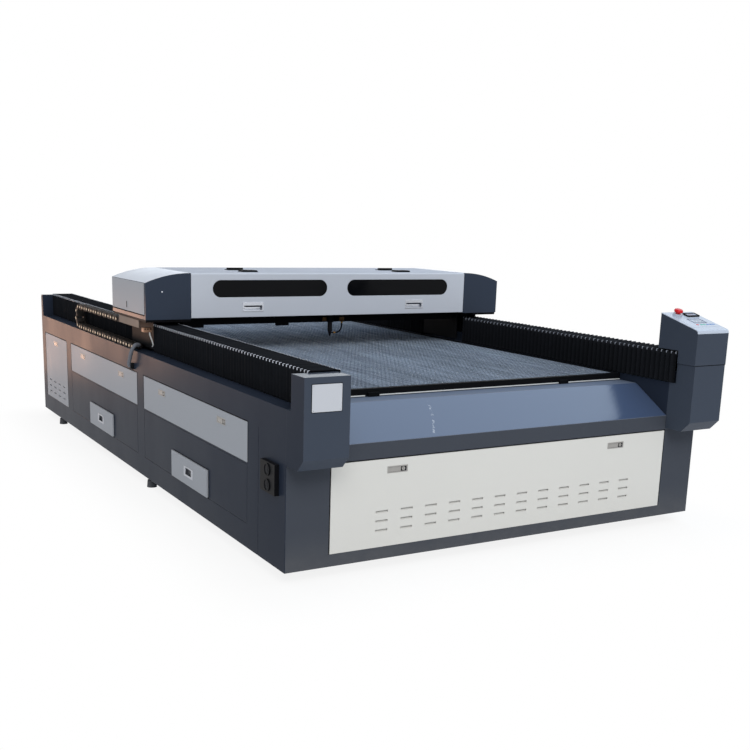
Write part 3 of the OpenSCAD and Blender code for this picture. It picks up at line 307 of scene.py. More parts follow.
def bellows_cloth():
    """Coated black cloth with a fine plain weave and dusty folds, whose paler bluish edges are also a painted
    highlight.
    """
    base = rgb(18, 20, 24)
    s = Shader("bellows_cloth", base, 0.78, spec=0.05)
    threads = []
    for stretch in ((1.0, 0.0, 0.6), (0.0, 1.0, 0.6)):
        wave = s.add("ShaderNodeTexWave", wave_type="BANDS", bands_direction="DIAGONAL")
        s.put(wave.inputs["Vector"], s.mapped(stretch))
        wave.inputs["Scale"].default_value = 330.0
        wave.inputs["Distortion"].default_value = 0.6
        threads.append(wave.outputs["Fac"])
    weave = s.math("MULTIPLY", *threads)
    cloud = s.noise(5.0, 4.0, 0.6)
    colour = s.mix(cloud, scaled(base, 0.8), scaled(base, 1.25))
    # Paler bluish fold edges: dust, and a painted highlight along them
    dust_and_highlight = s.math("MULTIPLY", s.edges(0.0016), s.span(s.noise(30.0, 3.0), 0.4, 0.7, 0.02, 0.2))
    s.set("Base Color", s.mix(dust_and_highlight, colour, rgb(66, 69, 80)))
    s.set("Roughness", s.span(weave, 0.0, 1.0, 0.7, 0.86))
    s.bump(weave, 0.18, 0.0005)
    s.bump(s.noise(60.0, 3.0), 0.12, 0.002)
    return s.done()


def window_tint():
    """Dark smoked acrylic with a few wipe marks in its gloss."""
    base = rgb(11, 12, 15)
    s = Shader("window_tint", base, 0.12, spec=0.08)
    s.set("Base Color", s.mix(s.noise(2.0, 2.0), scaled(base, 0.8), scaled(base, 1.2)))
    s.set("Roughness", s.span(s.noise(7.0, 4.0, 0.65, stretch=(1.0, 1.0, 2.5)), 0.3, 0.7, 0.06, 0.2))
    return s.done()


def clear_glass():
    base = rgb(222, 232, 238)
    s = Shader("tube_glass", base, 0.06)
    s.set("Transmission Weight", 0.6)
    s.set("Base Color", s.mix(s.noise(6.0, 2.0), scaled(base, 0.95), base))
    s.set("Roughness", s.span(s.noise(20.0, 3.0), 0.3, 0.7, 0.04, 0.1))
    return s.done()


def lcd_face():
    """Blank display: a bluish field with a fine dot grid."""
    base = rgb(158, 170, 204)
    s = Shader("lcd_face", base, 0.18, spec=0.3)
    grid = s.add("ShaderNodeTexVoronoi", feature="F1", distance="CHEBYCHEV")
    s.put(grid.inputs["Vector"], s.coords)
    grid.inputs["Scale"].default_value = 900.0
    grid.inputs["Randomness"].default_value = 0.0
    dots = s.span(grid.outputs["Distance"], 0.3, 0.5, 0.0, 0.35)
    s.set("Base Color", s.mix(dots, base, rgb(132, 144, 182)))
    s.set("Roughness", s.span(s.noise(60.0), 0.3, 0.7, 0.14, 0.22))
    return s.done()


slate = paint("slate_paint", rgb(37, 44, 57), 0.34, 0.03, rgb(104, 108, 116), dust=0.03)
cap_gloss = paint("cap_gloss", rgb(52, 60, 74), 0.17, 0.05, rgb(120, 128, 142))
front_paint = paint("front_paint", rgb(62, 69, 81), 0.17, 0.03, rgb(122, 128, 138), dust=0.1)
frame_paint = paint("frame_paint", rgb(66, 70, 78), 0.24, 0.02, rgb(122, 126, 134), dust=0.2)
lid_top = paint("lid_top_paint", rgb(176, 180, 190), 0.6, 0.01, rgb(196, 200, 208), tone=0.03)
cream = paint("cream_paint", rgb(207, 206, 202), 0.38, 0.05, rgb(234, 233, 230), tone=0.025, rub_and_highlight=(0.15, 0.35))
# Silver and light paints: strong, wide lighter edges, painted highlights more than wear
silver = paint("silver_paint", rgb(194, 199, 209), 0.34, 0.05, rgb(228, 232, 241), tone=0.03, rub_and_highlight=(0.5, 0.9),
               edge=0.003)
light = paint("light_paint", rgb(157, 161, 168), 0.36, 0.015, rgb(222, 224, 228), tone=0.03, rub_and_highlight=(0.4, 0.8),
              edge=0.0025)
black_paint = paint("black_paint", rgb(15, 16, 19), 0.5, 0.03, rgb(66, 68, 73), tone=0.12, rub_and_highlight=(0.1, 0.4))
arm_paint = paint("arm_paint", rgb(112, 104, 98), 0.45, 0.03, rgb(160, 154, 148))
panel_white = paint("panel_white", rgb(180, 189, 204), 0.3, 0.2, rgb(224, 230, 238), tone=0.02)
plate_grey = paint("plate_grey", rgb(186, 189, 196), 0.4, 0.1, rgb(226, 228, 232), tone=0.03, rub_and_highlight=(0.5, 0.9))
flange_painted_light = paint("flange_painted_light", rgb(96, 107, 126), 0.5, 0.05, rgb(150, 155, 165), tone=0.04)
apron_coat_and_sky_tint = apron_paint_and_sky_tint()
steel = brushed("bare_steel", rgb(176, 180, 186), 0.32, 1)
steel_x = brushed("bare_steel_x", rgb(176, 180, 186), 0.32, 0)
chrome = brushed("chrome", rgb(206, 210, 218), 0.24, 0, metal=0.7, tone=0.04)
bezel_steel = brushed("bezel_steel", rgb(156, 154, 151), 0.36, 1, metal=0.4, tone=0.06, spec=0.1)
honeycomb = honeycomb_metal()
cloth = bellows_cloth()
clip_white = moulded("clip_white", rgb(198, 203, 214), 0.42, spec=0.1)
# Darker copy of the clip plastic: painted shade for the clips on the right-hand bellows
clip_painted_shade = moulded("clip_painted_shade", rgb(132, 136, 146), 0.5, spec=0.05)
black_plastic = moulded("black_plastic", rgb(20, 21, 24), 0.5, spec=0.05)
chain_black = moulded("chain_black", rgb(46, 43, 41), 0.55, spec=0.05)
chain_cream = moulded("chain_cream", rgb(206, 188, 164), 0.45, spec=0.1)
socket_black = moulded("socket_black", rgb(15, 16, 19), 0.42, spec=0.06, grain=0.2, scale=420.0)
grey_plastic = moulded("grey_plastic", rgb(64, 66, 72), 0.5)
conduit_grey = moulded("conduit_grey", rgb(108, 111, 119), 0.5, spec=0.1)
foot_grey = moulded("foot_grey", rgb(82, 84, 88), 0.6, spec=0.05)
socket_grey = moulded("socket_grey", rgb(30, 31, 35), 0.45, spec=0.05)
# Pale grey of the sheets behind the louvers: painted light in the slots
louver_backing_light = moulded("louver_backing_light", rgb(188, 186, 182), 0.8, spec=0.02, grain=0.3, scale=260.0)
bezel_blue = moulded("bezel_blue", rgb(112, 120, 138), 0.45, spec=0.1)
meter_grey = moulded("meter_grey", rgb(150, 156, 172), 0.4, spec=0.1, grain=0.04)
pull_painted_shade = moulded("pull_painted_shade", rgb(58, 64, 78), 0.4, spec=0.1)
rubber = moulded("rubber", rgb(20, 20, 22), 0.75, spec=0.03, grain=0.2, scale=300.0)
brass = brushed("brass", rgb(192, 150, 84), 0.34, 2, metal=0.85, tone=0.1)
lens_brass = brushed("lens_brass", rgb(84, 62, 36), 0.45, 2, metal=0.2, tone=0.2, spec=0.1)
copper_tan = brushed("copper_tan", rgb(186, 144, 118), 0.45, 0, metal=0.2, tone=0.1, spec=0.1)
nozzle_black = brushed("nozzle_black", rgb(26, 26, 30), 0.36, 2, metal=0.3, spec=0.1)
red_plastic = moulded("red_plastic", rgb(196, 26, 34), 0.3, grain=0.04, tone=0.05)
stop_black = moulded("stop_black", rgb(20, 20, 22), 0.4, spec=0.1)
key_red = moulded("key_red", rgb(200, 60, 66), 0.4, grain=0.05)
key_green = moulded("key_green", rgb(86, 176, 160), 0.4, grain=0.05)
key_blue = moulded("key_blue", rgb(96, 136, 190), 0.4, grain=0.05)
white_trim = moulded("white_trim", rgb(214, 216, 216), 0.5, grain=0.05, tone=0.03)
window = window_tint()
glass = clear_glass()
lcd = lcd_face()


def dress(material, *names):
    for name in names:
        mesh = nodes[name].data
        mesh.materials.clear()
        mesh.materials.append(material)


dress(slate, "bottom_frame", "frame_posts", "bed_beams", "left_skin", "right_skin", "rear_skin",
      "scrap_chutes", "rail_beams", "rear_caps")
dress(cap_gloss, "gantry_end_caps")
dress(front_paint, "left_front_cap", "right_front_cap", "control_head")
dress(frame_paint, "front_frame")
dress(apron_coat_and_sky_tint, "apron")
dress(cream, "front_door")
dress(panel_white, "control_panel")
dress(silver, "lid", "rear_cover")
dress(light, "left_front_panel", "left_mid_panel", "left_rear_panel", "front_drawer", "rear_drawer",
      "left_end_flap", "right_end_flap", "exhaust_spigots")
dress(arm_paint, "chain_arm")
dress(black_paint, "bed_frame", "gantry_beam", "side_carriages", "head_carriage", "lid_hinge_bases",
      "lid_hinge_leaves")
dress(steel, "drawer_runners", "linear_rails", "tube_mounts")
dress(steel_x, "x_rail")
dress(chrome, "lid_handles")
dress(bezel_steel, "front_panel_paddle_front", "front_panel_paddle_rear", "mid_panel_paddle_front",
      "mid_panel_paddle_rear", "rear_panel_paddle", "door_paddle_left", "door_paddle_right")
dress(window, "lid_windows")
dress(glass, "laser_tube")
dress(nozzle_black, "nozzle")
dress(red_plastic, "estop_button")
dress(black_plastic, "ammeter")
dress(bezel_blue, "display")
dress(socket_black, "socket_box")
dress(foot_grey, "levelling_feet")
dress(rubber, "air_hose")
dress(cloth, "front_bellows", "rear_bellows")
dress(honeycomb, "bed_panels")
dress(chain_black, "drag_chain")
dress(conduit_grey, "chain_conduit")


def repaint(name, material, inside, rise=-1.0):
    """Second material for the faces of a CAD node that rise enough and whose corners all pass a test."""
    mesh = nodes[name].data
    mesh.materials.append(material)
    slot = len(mesh.materials) - 1
    spots = [(v.co.x * 1000.0, v.co.y * 1000.0 + MID, v.co.z * 1000.0) for v in mesh.vertices]
    for face in mesh.polygons:
        if face.normal.z >= rise and all(inside(*spots[i]) for i in face.vertices):
            face.material_index = slot


def within(value, middle, reach):
    return abs(value - middle) <= reach + SLACK


# Latch trays in bare metal, with a dark pocket and a bright lock towards the right of each tray
DOOR_LATCH_Z, PANEL_LATCH_Z = 409.0, 522.0
LATCH_PARTS = ((bezel_steel, 0, 46, 13.5), (grey_plastic, 0, 40, 9.5), (bezel_steel, 27, 7.5, 7.5))
LEFT_PANELS = {"left_front_panel": (617, 1356), "left_mid_panel": (2004, 2751), "left_rear_panel": (3399.5,)}
for part, shift, across, up in LATCH_PARTS:
    for middle in (-LATCH_X, LATCH_X):
        repaint("front_door", part,
                lambda x, y, z: within(x, middle + shift, across) and within(z, DOOR_LATCH_Z, up))
    for name, middles in LEFT_PANELS.items():
        for middle in middles:
            repaint(name, part,
                    lambda x, y, z: within(y, middle - shift, across) and within(z, PANEL_LATCH_Z, up))

# Dark mouths of the drawer pulls, the flap's lock and the hollow behind the lid's pulls
DRAWERS = {"front_drawer": 986.5, "rear_drawer": 2377.5}
MOUTH_Z, MOUTH_X, RIM_X, LOCK_X = 216.0, 30.0, 1058.6, 1057.5
for name, middle in DRAWERS.items():
    repaint(name, grey_plastic,
            lambda x, y, z: within(y, middle, 36) and within(z, MOUTH_Z, 13) and x < -HW + MOUTH_X)
    repaint(name, plate_grey, lambda x, y, z: x < -RIM_X)
repaint("left_end_flap", black_plastic, lambda x, y, z: x < -LOCK_X)
repaint("right_end_flap", black_plastic, lambda x, y, z: x > LOCK_X)
for middle in (-PULL_X, PULL_X):
    repaint("lid_handles", bezel_steel, lambda x, y, z: within(x, middle, 57) and y > 1570)

# Tops of the gantry's covers, and the outer side of the left cap in the darker slate of the skin behind it:
# painted shade on that side
repaint("gantry_end_caps", silver, lambda x, y, z: z > 1000, 0.1)
repaint("lid", lid_top, lambda x, y, z: z > 1060, 0.9)
repaint("rear_cover", lid_top, lambda x, y, z: z > 1060, 0.9)
repaint("left_front_cap", slate, lambda x, y, z: x < -HW + SLACK)
# Upward faces of the apron's flange in a lighter, matt blue-grey: painted light on the faces that look up
repaint("apron", flange_painted_light, lambda x, y, z: z > 600, 0.95)


# Shapes

class Shape:
    """Corners, faces and material numbers gathered for one piece."""

    def __init__(self):
        self.verts = []
        self.faces = []
        self.mats = []

    def add(self, verts, faces, mat=0, turn=None):
        first = len(self.verts)
        self.verts += [tuple(turn @ Vector(v)) if turn else tuple(v) for v in verts]
        self.faces += [tuple(i + first for i in f) for f in faces]
        self.mats += [mat] * len(faces)

    def block(self, x, y, z, r=0.0, mat=0, turn=None, segs=2):
        bm = bmesh.new()
        bmesh.ops.create_cube(bm, size=1.0)
        for v in bm.verts:
            v.co = Vector([s[0] + (c + 0.5) * (s[1] - s[0]) for s, c in zip((x, y, z), v.co)])
        if r:
            bmesh.ops.bevel(bm, geom=bm.edges[:], offset=r, segments=segs, profile=0.5, affect="EDGES")
        bm.verts.index_update()
        self.add([v.co.copy() for v in bm.verts], [[v.index for v in f.verts] for f in bm.faces], mat, turn)
        bm.free()

    def prism(self, outline, low, high, mat=0, turn=None, chamfer=0.0):
        """Outline in X and Y, run out along Z, with a chamfer round its upper edge."""
        n = len(outline)
        layers = [(low, 0.0), (high - chamfer, 0.0)] + ([(high, chamfer)] if chamfer else [])
        verts = []
        for z, inset in layers:
            verts += [(*p, z) for p in (shrunk(outline, inset) if inset else outline)]
        faces = [tuple(reversed(range(n))), tuple(range((len(layers) - 1) * n, len(layers) * n))]
        for k in range(len(layers) - 1):
            lower, upper = k * n, (k + 1) * n
            faces += [(lower + i, lower + (i + 1) % n, upper + (i + 1) % n, upper + i) for i in range(n)]
        self.add(verts, faces, mat, turn)

    def lathe(self, profile, sides, mat=0, turn=None):
        """Profile of radius and height about Z, from axis to axis."""
        verts = []
        faces = []
        rings = []
        for r, h in profile:
            if r == 0:
                rings.append([len(verts)])
                verts.append((0.0, 0.0, h))
            else:
                rings.append(list(range(len(verts), len(verts) + sides)))
                angles = [2 * math.pi * k / sides for k in range(sides)]
                verts += [(r * math.cos(a), r * math.sin(a), h) for a in angles]
        for a, b in zip(rings, rings[1:]):
            for k in range(sides):
                quad = [a[k % len(a)], a[(k + 1) % len(a)], b[(k + 1) % len(b)], b[k % len(b)]]
                faces.append(tuple(dict.fromkeys(quad)))
        self.add(verts, faces, mat, turn)

    def tube(self, path, radii, sides=14, mat=0):
        """Closed round tube along a path, with one radius for each point."""
        path = [Vector(p) for p in path]
        verts = []
        up = Vector((0.3, 0.2, 1.0))
        for i, p in enumerate(path):
            way = (path[min(i + 1, len(path) - 1)] - path[max(i - 1, 0)]).normalized()
            u = (up - way * up.dot(way)).normalized()
            v = way.cross(u)
            up = u
            for k in range(sides):
                a = 2 * math.pi * k / sides
                verts.append(p + radii[i] * (math.cos(a) * u + math.sin(a) * v))
        faces = []
        for i in range(len(path) - 1):
            for k in range(sides):
                a, b = i * sides + k, i * sides + (k + 1) % sides
                faces.append((a, b, b + sides, a + sides))
        faces.append(tuple(reversed(range(sides))))
        faces.append(tuple(range((len(path) - 1) * sides, len(path) * sides)))
        self.add(verts, faces, mat)

    def piece(self, name, materials, body=None, soft=None):
        """The object in metres. With soft, faces turn smoothly into each other below that angle."""
        mesh = bpy.data.meshes.new(name)
        mesh.from_pydata([at(*v) for v in self.verts], [], self.faces)
        for material in materials:
            mesh.materials.append(material)
        mesh.polygons.foreach_set("material_index", self.mats)
        mesh.update()
        if soft:
            mesh.shade_smooth()
            mesh.set_sharp_from_angle(angle=math.radians(soft))
        made = bpy.data.objects.new(name, mesh)
        scene.collection.objects.link(made)
        if body:
            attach(made, body)
        return made


def shrunk(outline, d):
    """Outline moved inwards by a distance, corner by corner."""
    n = len(outline)
    out = []
    for i in range(n):
        a, b, c = (Vector(outline[k % n]) for k in (i - 1, i, i + 1))
        u, v = (b - a).normalized(), (c - b).normalized()
        side = Vector((-u.y, u.x)) + Vector((-v.y, v.x))
        out.append(tuple(b + side * d / max(0.2, 1 + u.dot(v))))
    return out


def rounded(w, h, r, n=5):
    """Rectangle about the origin with round corners."""
    out = []
    for cx, cy, a0 in ((1, 1, 0), (-1, 1, 90), (-1, -1, 180), (1, -1, 270)):
        for k in range(n + 1):
            a = math.radians(a0 + 90 * k / n)
            out.append((cx * (w / 2 - r) + r * math.cos(a), cy * (h / 2 - r) + r * math.sin(a)))
    return out


def axes(origin, x, y, z):
    return Matrix(((x[0], y[0], z[0], origin[0]), (x[1], y[1], z[1], origin[1]),
                   (x[2], y[2], z[2], origin[2]), (0, 0, 0, 1)))


def on_front(x, y, z):
    """Frame of a fitting on a face towards the operator: X across, Y up, Z out."""
    return axes((x, y, z), (1, 0, 0), (0, 0, 1), (0, -1, 0))


def on_left(x, y, z):
    return axes((x, y, z), (0, -1, 0), (0, 0, 1), (-1, 0, 0))


# Control panel: its rise over its run, and the height of its front edge
SLOPE = math.atan(60.0 / 223.0)
PANEL_Z = 920.0


def on_panel(u, v, lift=0.0):
    """Frame on the control panel: X across, Y up the slope, Z out of it."""
    c, s = math.cos(SLOPE), math.sin(SLOPE)
    out = Vector((0, -s, c))
    origin = Vector((INNER_X + u, CAP_Y, PANEL_Z)) + v * Vector((0, c, s)) + lift * out
    return axes(origin, (1, 0, 0), (0, c, s), out)


def smooth_way(points, n):
    """Smooth curve through some points, with n steps between each two."""
    out = []
    for i in range(len(points) - 1):
        a, b = points[max(i - 1, 0)], points[i]
        c, d = points[i + 1], points[min(i + 2, len(points) - 1)]
        for k in range(n):
            t = k / n
            out.append(0.5 * (2 * b + (c - a) * t + (2 * a - 5 * b + 4 * c - d) * t * t
                              + (3 * b - a - 3 * c + d) * t * t * t))
    return out + [points[-1]]


def evenly(path, step):
    """Points at an even distance along a path."""
    out = [path[0]]
    left = step
    for a, b in zip(path, path[1:]):
        d = (b - a).length
        while left <= d:
            out.append(a + (b - a) * (left / d))
            left += step
        left -= d
    return out + [path[-1]]


def stretch_between(made, a, b, y, w):
    """Bakes the piece's place into its mesh; it does not blend it along Y. The bodies a and b, the span y and
    the shares w are not used.
    """
    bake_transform(made)


# Bellows: pleated channels over the rails, with a small clip at each upper corner of each pleat
PLEAT = ((0.0, 0.0), (0.05, 0.5), (0.45, 15.2), (0.5, 16.0), (0.55, 15.2), (0.95, 0.5))
BELLOWS_X = (850.5, 983.5)
BELLOWS_Z = (678.0, 817.0)
PLEATS = 57
CUTS = (0, 1, 3, 8, PLEATS - 8, PLEATS - 3, PLEATS - 1, PLEATS)
CLOTH_T = 2.0
HEAD_ROOM = 44.0
CLIP_W = 5.0


def bellows(name, node, y0, y1, n, cuts, bodies):
    rng = np.random.default_rng(7 if node == "front_bellows" else 11)
    depth_jitter = rng.normal(0, 0.5, (2, n + 1))
    height_jitter = rng.normal(0, 0.6, (2, n + 1))
    lean = rng.normal(0, 0.03, (2, n + 1))
    pitch = (y1 - y0) / n
    for low, high in zip(cuts, cuts[1:]):
        shape = Shape()
        for side in (0, 1):
            sign = 1 if side else -1
            rings = [(i, u, d) for i in range(low, high) for u, d in PLEAT] + [(high, 0.0, 0.0)]
            verts = []
            for i, u, d in rings:
                ridge = u == 0.0
                deep = 0.0 if ridge else max(0.0, d + depth_jitter[side][i] * min(d, 1))
                drop = abs(height_jitter[side][i if u <= 0.5 else i + 1]) * (1 - d / 16.0)
                y = y0 + (i + u) * pitch + (0 if ridge else lean[side][i] * pitch * 0.4)
                verts += bellows_ring(sign, y, deep, drop, room(node, side, i + u))
            count = len(verts) // len(rings)
            half = count // 2
            faces = []
            for i in range(len(rings) - 1):
                for k in range(count):
                    a, b = i * count + k, i * count + (k + 1) % count
                    faces.append((a, b, b + count, a + count) if side else (b, a, a + count, b + count))
            for first, flip in ((0, not side), ((len(rings) - 1) * count, bool(side))):
                for k in range(half - 1):
                    quad = (first + k, first + k + 1, first + count - 2 - k, first + count - 1 - k)
                    faces.append(quad if flip else tuple(reversed(quad)))
            shape.add(verts, faces)
            for i in range(low, high + (high == n)):
                drop = abs(height_jitter[side][i])
                y = min(max(y0 + i * pitch, y0 + 3.2), y1 - 3.2)
                for x, way in zip((BELLOWS_X[0] + room(node, side, i), BELLOWS_X[1]), (1, -1)):
                    # Clips on the right-hand bellows take the darker grey copy of the white clips: painted
                    # shade
                    clip(shape, sign * x, sign * way, y, BELLOWS_Z[1] - drop, 2 if side else 1)
        made = shape.piece(f"{name}_{low}", [cloth, clip_white, clip_painted_shade], soft=38)
        stretch_between(made, *bodies, (y0 + low * pitch, y0 + high * pitch), (low / n, high / n))
        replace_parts(made, node)


def room(node, side, place):
    """Step of the inner side at the last pleats of the right front bellows, where the head passes."""
    return HEAD_ROOM if node == "front_bellows" and side and place >= PLEATS - 2 else 0.0


def bellows_ring(sign, y, d, drop, inset):
    """One turn of the cloth: up one side, over the top and down, outside first and then inside."""
    out = []
    for w, way in ((d, 1), (d + CLOTH_T, -1)):
        x0, x1 = BELLOWS_X[0] + w + inset, BELLOWS_X[1] - w
        z0, z1, c = BELLOWS_Z[0], BELLOWS_Z[1] - w - drop * 0.5, 5.0
        mid = (x0 + x1) / 2
        line = [(x0, z0), (x0, z0 + 60), (x0, z1 - c), (x0 + 0.3 * c, z1 - 0.3 * c), (x0 + c, z1),
                (x0 + 34, z1 - drop), (mid, z1 - 1.3 * drop), (x1 - 34, z1 - drop),
                (x1 - c, z1), (x1 - 0.3 * c, z1 - 0.3 * c), (x1, z1 - c), (x1, z0 + 60), (x1, z0)]
        out += [(sign * x, y, z) for x, z in line[::way]]
    return out


def clip(shape, x, way, y, z, mat):
    """Folded clip over an upper corner, open towards the cloth."""
    outline = [(-0.6, -9.0), (-0.6, -1.2), (1.2, 0.6), (8.0, 0.6),
               (8.0, -0.6), (1.7, -0.6), (0.6, -1.7), (0.6, -9.0)]
    verts = [(x + way * a, y + s * CLIP_W / 2, z + b) for s in (-1, 1) for a, b in outline]
    n = len(outline)
    faces = [tuple(range(n)), tuple(reversed(range(n, 2 * n)))]
    faces += [((i + 1) % n, i, i + n, (i + 1) % n + n) for i in range(n)]
    shape.add(verts, faces if way > 0 else [tuple(reversed(f)) for f in faces], mat)


bellows("front_pleats", "front_bellows", CAP_BACK, 1659.7, PLEATS, CUTS, ("base", "gantry"))
bellows("rear_pleats", "rear_bellows", 2005.3, 3720.0, PLEATS, CUTS, ("gantry", "base"))

# Drag chain: plates, cross bars and a pale oval cap at each joint
CHAIN_X = -1018.0
LINK_H, PLATE_T = 28.0, 3.0
CHAIN_Z = LEDGE_Z + 0.3 + LINK_H / 2
CHAIN_FIX, CHAIN_TIE, CHAIN_BEND, BEND_R, PITCH = 1825.0, 2008.0, 2852.0, 58.0, 48.0
LOW_RUN, BEND_RUN, UP_RUN = CHAIN_BEND - CHAIN_FIX, math.pi * BEND_R, CHAIN_BEND - CHAIN_TIE
LINKS = int((LOW_RUN + BEND_RUN + UP_RUN) // PITCH)


def chain_at(s):
    """Place of the chain's middle line at a distance along it, as Y and Z."""
    if s < LOW_RUN:
        return CHAIN_FIX + s, CHAIN_Z
    if s < LOW_RUN + BEND_RUN:
        a = (s - LOW_RUN) / BEND_R
        return CHAIN_BEND + BEND_R * math.sin(a), CHAIN_Z + BEND_R - BEND_R * math.cos(a)
    return CHAIN_BEND - (s - LOW_RUN - BEND_RUN), CHAIN_Z + 2 * BEND_R


def chain_share(s):
    """How much of the gantry's motion a point of the chain follows."""
    if s < LOW_RUN:
        return 0.5 * s / LOW_RUN
    return 0.5 + 0.5 * max(0.0, s - LOW_RUN - BEND_RUN) / UP_RUN


def chain_link(shape, i):
    a, b = chain_at(i * PITCH), chain_at((i + 1) * PITCH)
    heading = math.atan2(b[1] - a[1], b[0] - a[0])
    c, s = math.cos(heading), math.sin(heading)
    outer = i % 2 == 0
    half = 25.0 if outer else 21.5
    turn = axes((CHAIN_X, (a[0] + b[0]) / 2, (a[1] + b[1]) / 2), (0, c, s), (0, -s, c), (1, 0, 0))
    l, h = PITCH + 22.4, LINK_H
    outline = []
    for end, a0 in ((1, -90), (-1, 90)):
        for k in range(9):
            ang = math.radians(a0 + 180 * k / 8)
            outline.append((end * (l - h) / 2 + h / 2 * math.cos(ang), h / 2 * math.sin(ang)))
    for low, high in ((-half, PLATE_T - half), (half - PLATE_T, half)):
        shape.prism(outline, low, high, turn=turn)
    for z in (-14.0, 11.0):
        shape.block((-12, 12), (z, z + PLATE_T), (-half, half), 0.7, turn=turn)
    if not outer:
        return
    for end in (-1, 1):
        for out in (-1, 1):
            cap = turn @ axes((end * PITCH / 2, 0, out * half), (1, 0, 0), (0, out, 0), (0, 0, out))
            shape.prism(rounded(22, 15, 6), -0.5, 0.9, 0, cap, 0.3)
            shape.prism(rounded(18, 11.5, 4.5), 0.5, 1.6, 1, cap, 0.5)


low_links = int(LOW_RUN // PITCH)
up_first = math.ceil((LOW_RUN + BEND_RUN) / PITCH)
chain_cuts = [0, 1, 3, 8, low_links, up_first, LINKS - 8, LINKS - 3, LINKS - 1, LINKS]
for low, high in zip(chain_cuts, chain_cuts[1:]):
    chain = Shape()
    for i in range(low, high):
        chain_link(chain, i)
    made = chain.piece(f"chain_links_{low}", [chain_black, chain_cream], soft=35)
    if low == low_links:
        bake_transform(made)
    else:
        ends = [chain_at(k * PITCH)[0] for k in (low, high)]
        stretch_between(made, "base", "gantry", ends, [chain_share(k * PITCH) for k in (low, high)])
    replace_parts(made, "drag_chain")

# Conduit from the chain's fixed end to its gland, corrugated
conduit_way = [Vector((x - HW, CHAIN_FIX + y, LEDGE_Z + z)) for x, y, z in (
    (32, -3, 23), (31, -35, 24), (20, -63, 29), (0, -80, 31), (-14, -78, 14), (-21, -66, -15),
    (-22, -48, -47), (-22, -34, -71), (-16, -31, -82))]
conduit = Shape()
way = evenly(smooth_way(conduit_way, 16), 1.3)
conduit.tube(way, [(9.9, 9.6, 8.5, 8.8)[i % 4] for i in range(len(way))], 18)
gland = axes((-HW, conduit_way[-1].y, conduit_way[-1].z), (0, 1, 0), (0, 0, -1), (-1, 0, 0))
conduit.lathe([(0, 0), (19, 0), (19, 7), (17.4, 8), (0, 8)], 6, 1, gland)
conduit.lathe([(0, 7), (15, 7), (15, 13), (14, 15), (12.4, 16), (0, 16)], 20, 1, gland)
made = conduit.piece("corrugated_conduit", [conduit_grey, black_plastic], "base", soft=35)
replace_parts(made, "chain_conduit")

# Honeycomb bed: bonded foil ribbons along Y in two framed halves, each in two pieces
CELL = 12.0
BED_X = 834.0
BED_Z = (659.5, 672.0)
FOIL = 0.4


def honeycomb_half(name, y0, y1):
    rng = np.random.default_rng(3)
    h = CELL * math.sqrt(3) / 2
    count = int(2 * BED_X // h)
    first = -count * h / 2
    ys = [y0]
    while ys[-1] < y1:
        ys.append(ys[-1] + (CELL if len(ys) % 2 else CELL / 2))
    ys = np.array(ys[:-1])
    k = len(ys)
    low = np.array([0.0 if i % 4 in (0, 1) else 1.0 for i in range(k)])
    for part, ribbons in (("left", range(count // 2)), ("right", range(count // 2, count))):
        verts = np.empty((len(ribbons), k, 4, 3))
        for row, j in enumerate(ribbons):
            side = low if j % 2 == 0 else 1.0 - low
            x = first + (j + side) * h + rng.normal(0, 0.3, k)
            top = BED_Z[1] - np.abs(rng.normal(0, 0.35, k))
            for c, (dx, z) in enumerate(((-FOIL, BED_Z[0]), (FOIL, BED_Z[0]), (FOIL, top), (-FOIL, top))):
                verts[row, :, c, 0] = x + dx
                verts[row, :, c, 1] = ys
                verts[row, :, c, 2] = z
        faces = []
        for row in range(len(ribbons)):
            base = row * k * 4
            for i in range(k - 1):
                p = base + i * 4
                faces += [(p + c, p + (c + 1) % 4, p + 4 + (c + 1) % 4, p + 4 + c) for c in range(4)]
            last = base + (k - 1) * 4
            faces += [(base + 3, base + 2, base + 1, base), (last, last + 1, last + 2, last + 3)]
        shape = Shape()
        shape.add(verts.reshape(-1, 3).tolist(), faces)
        ends = (-BED_X, 0.0) if part == "left" else (0.0, BED_X)
        edge = -BED_X - 1.0 if part == "left" else BED_X
        shape.block((edge, edge + 1.0), (y0 - 0.5, y1 + 0.5), BED_Z, 0.2, segs=1)
        for y in (y0 - 1.0, y1):
            shape.block(ends, (y, y + 1.0), BED_Z, 0.2, segs=1)
        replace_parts(shape.piece(f"{name}_{part}", [honeycomb], "base"), "bed_panels")


honeycomb_half("honeycomb_front", 337.0, 1783.5)
honeycomb_half("honeycomb_rear", 1787.5, 3234.0)

# Air hose from the head's bracket to the nozzle's inlet
hose = Shape()
hose_way = [Vector((x, HEAD_Y, z)) for x, z in (
    (22, 750), (34, 750), (52, 753), (66, 766), (72, 785), (73, 809))]
way = evenly(smooth_way(hose_way, 10), 2.0)
hose.tube(way, [4.0] * len(way), 12)
inlet = axes((24, HEAD_Y, 750), (0, 1, 0), (0, 0, 1), (1, 0, 0))
outlet = axes((73, HEAD_Y, 809), (1, 0, 0), (0, -1, 0), (0, 0, -1))
hose.lathe([(0, -2), (5.6, -2), (5.6, 7), (4.4, 9), (0, 9)], 12, 1, inlet)
hose.lathe([(0, 0), (6, 0), (6, 6), (4.6, 9), (0, 9)], 6, 1, outlet)
made = hose.piece("air_line", [rubber, brass], soft=35)
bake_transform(made)
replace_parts(made, "air_hose")

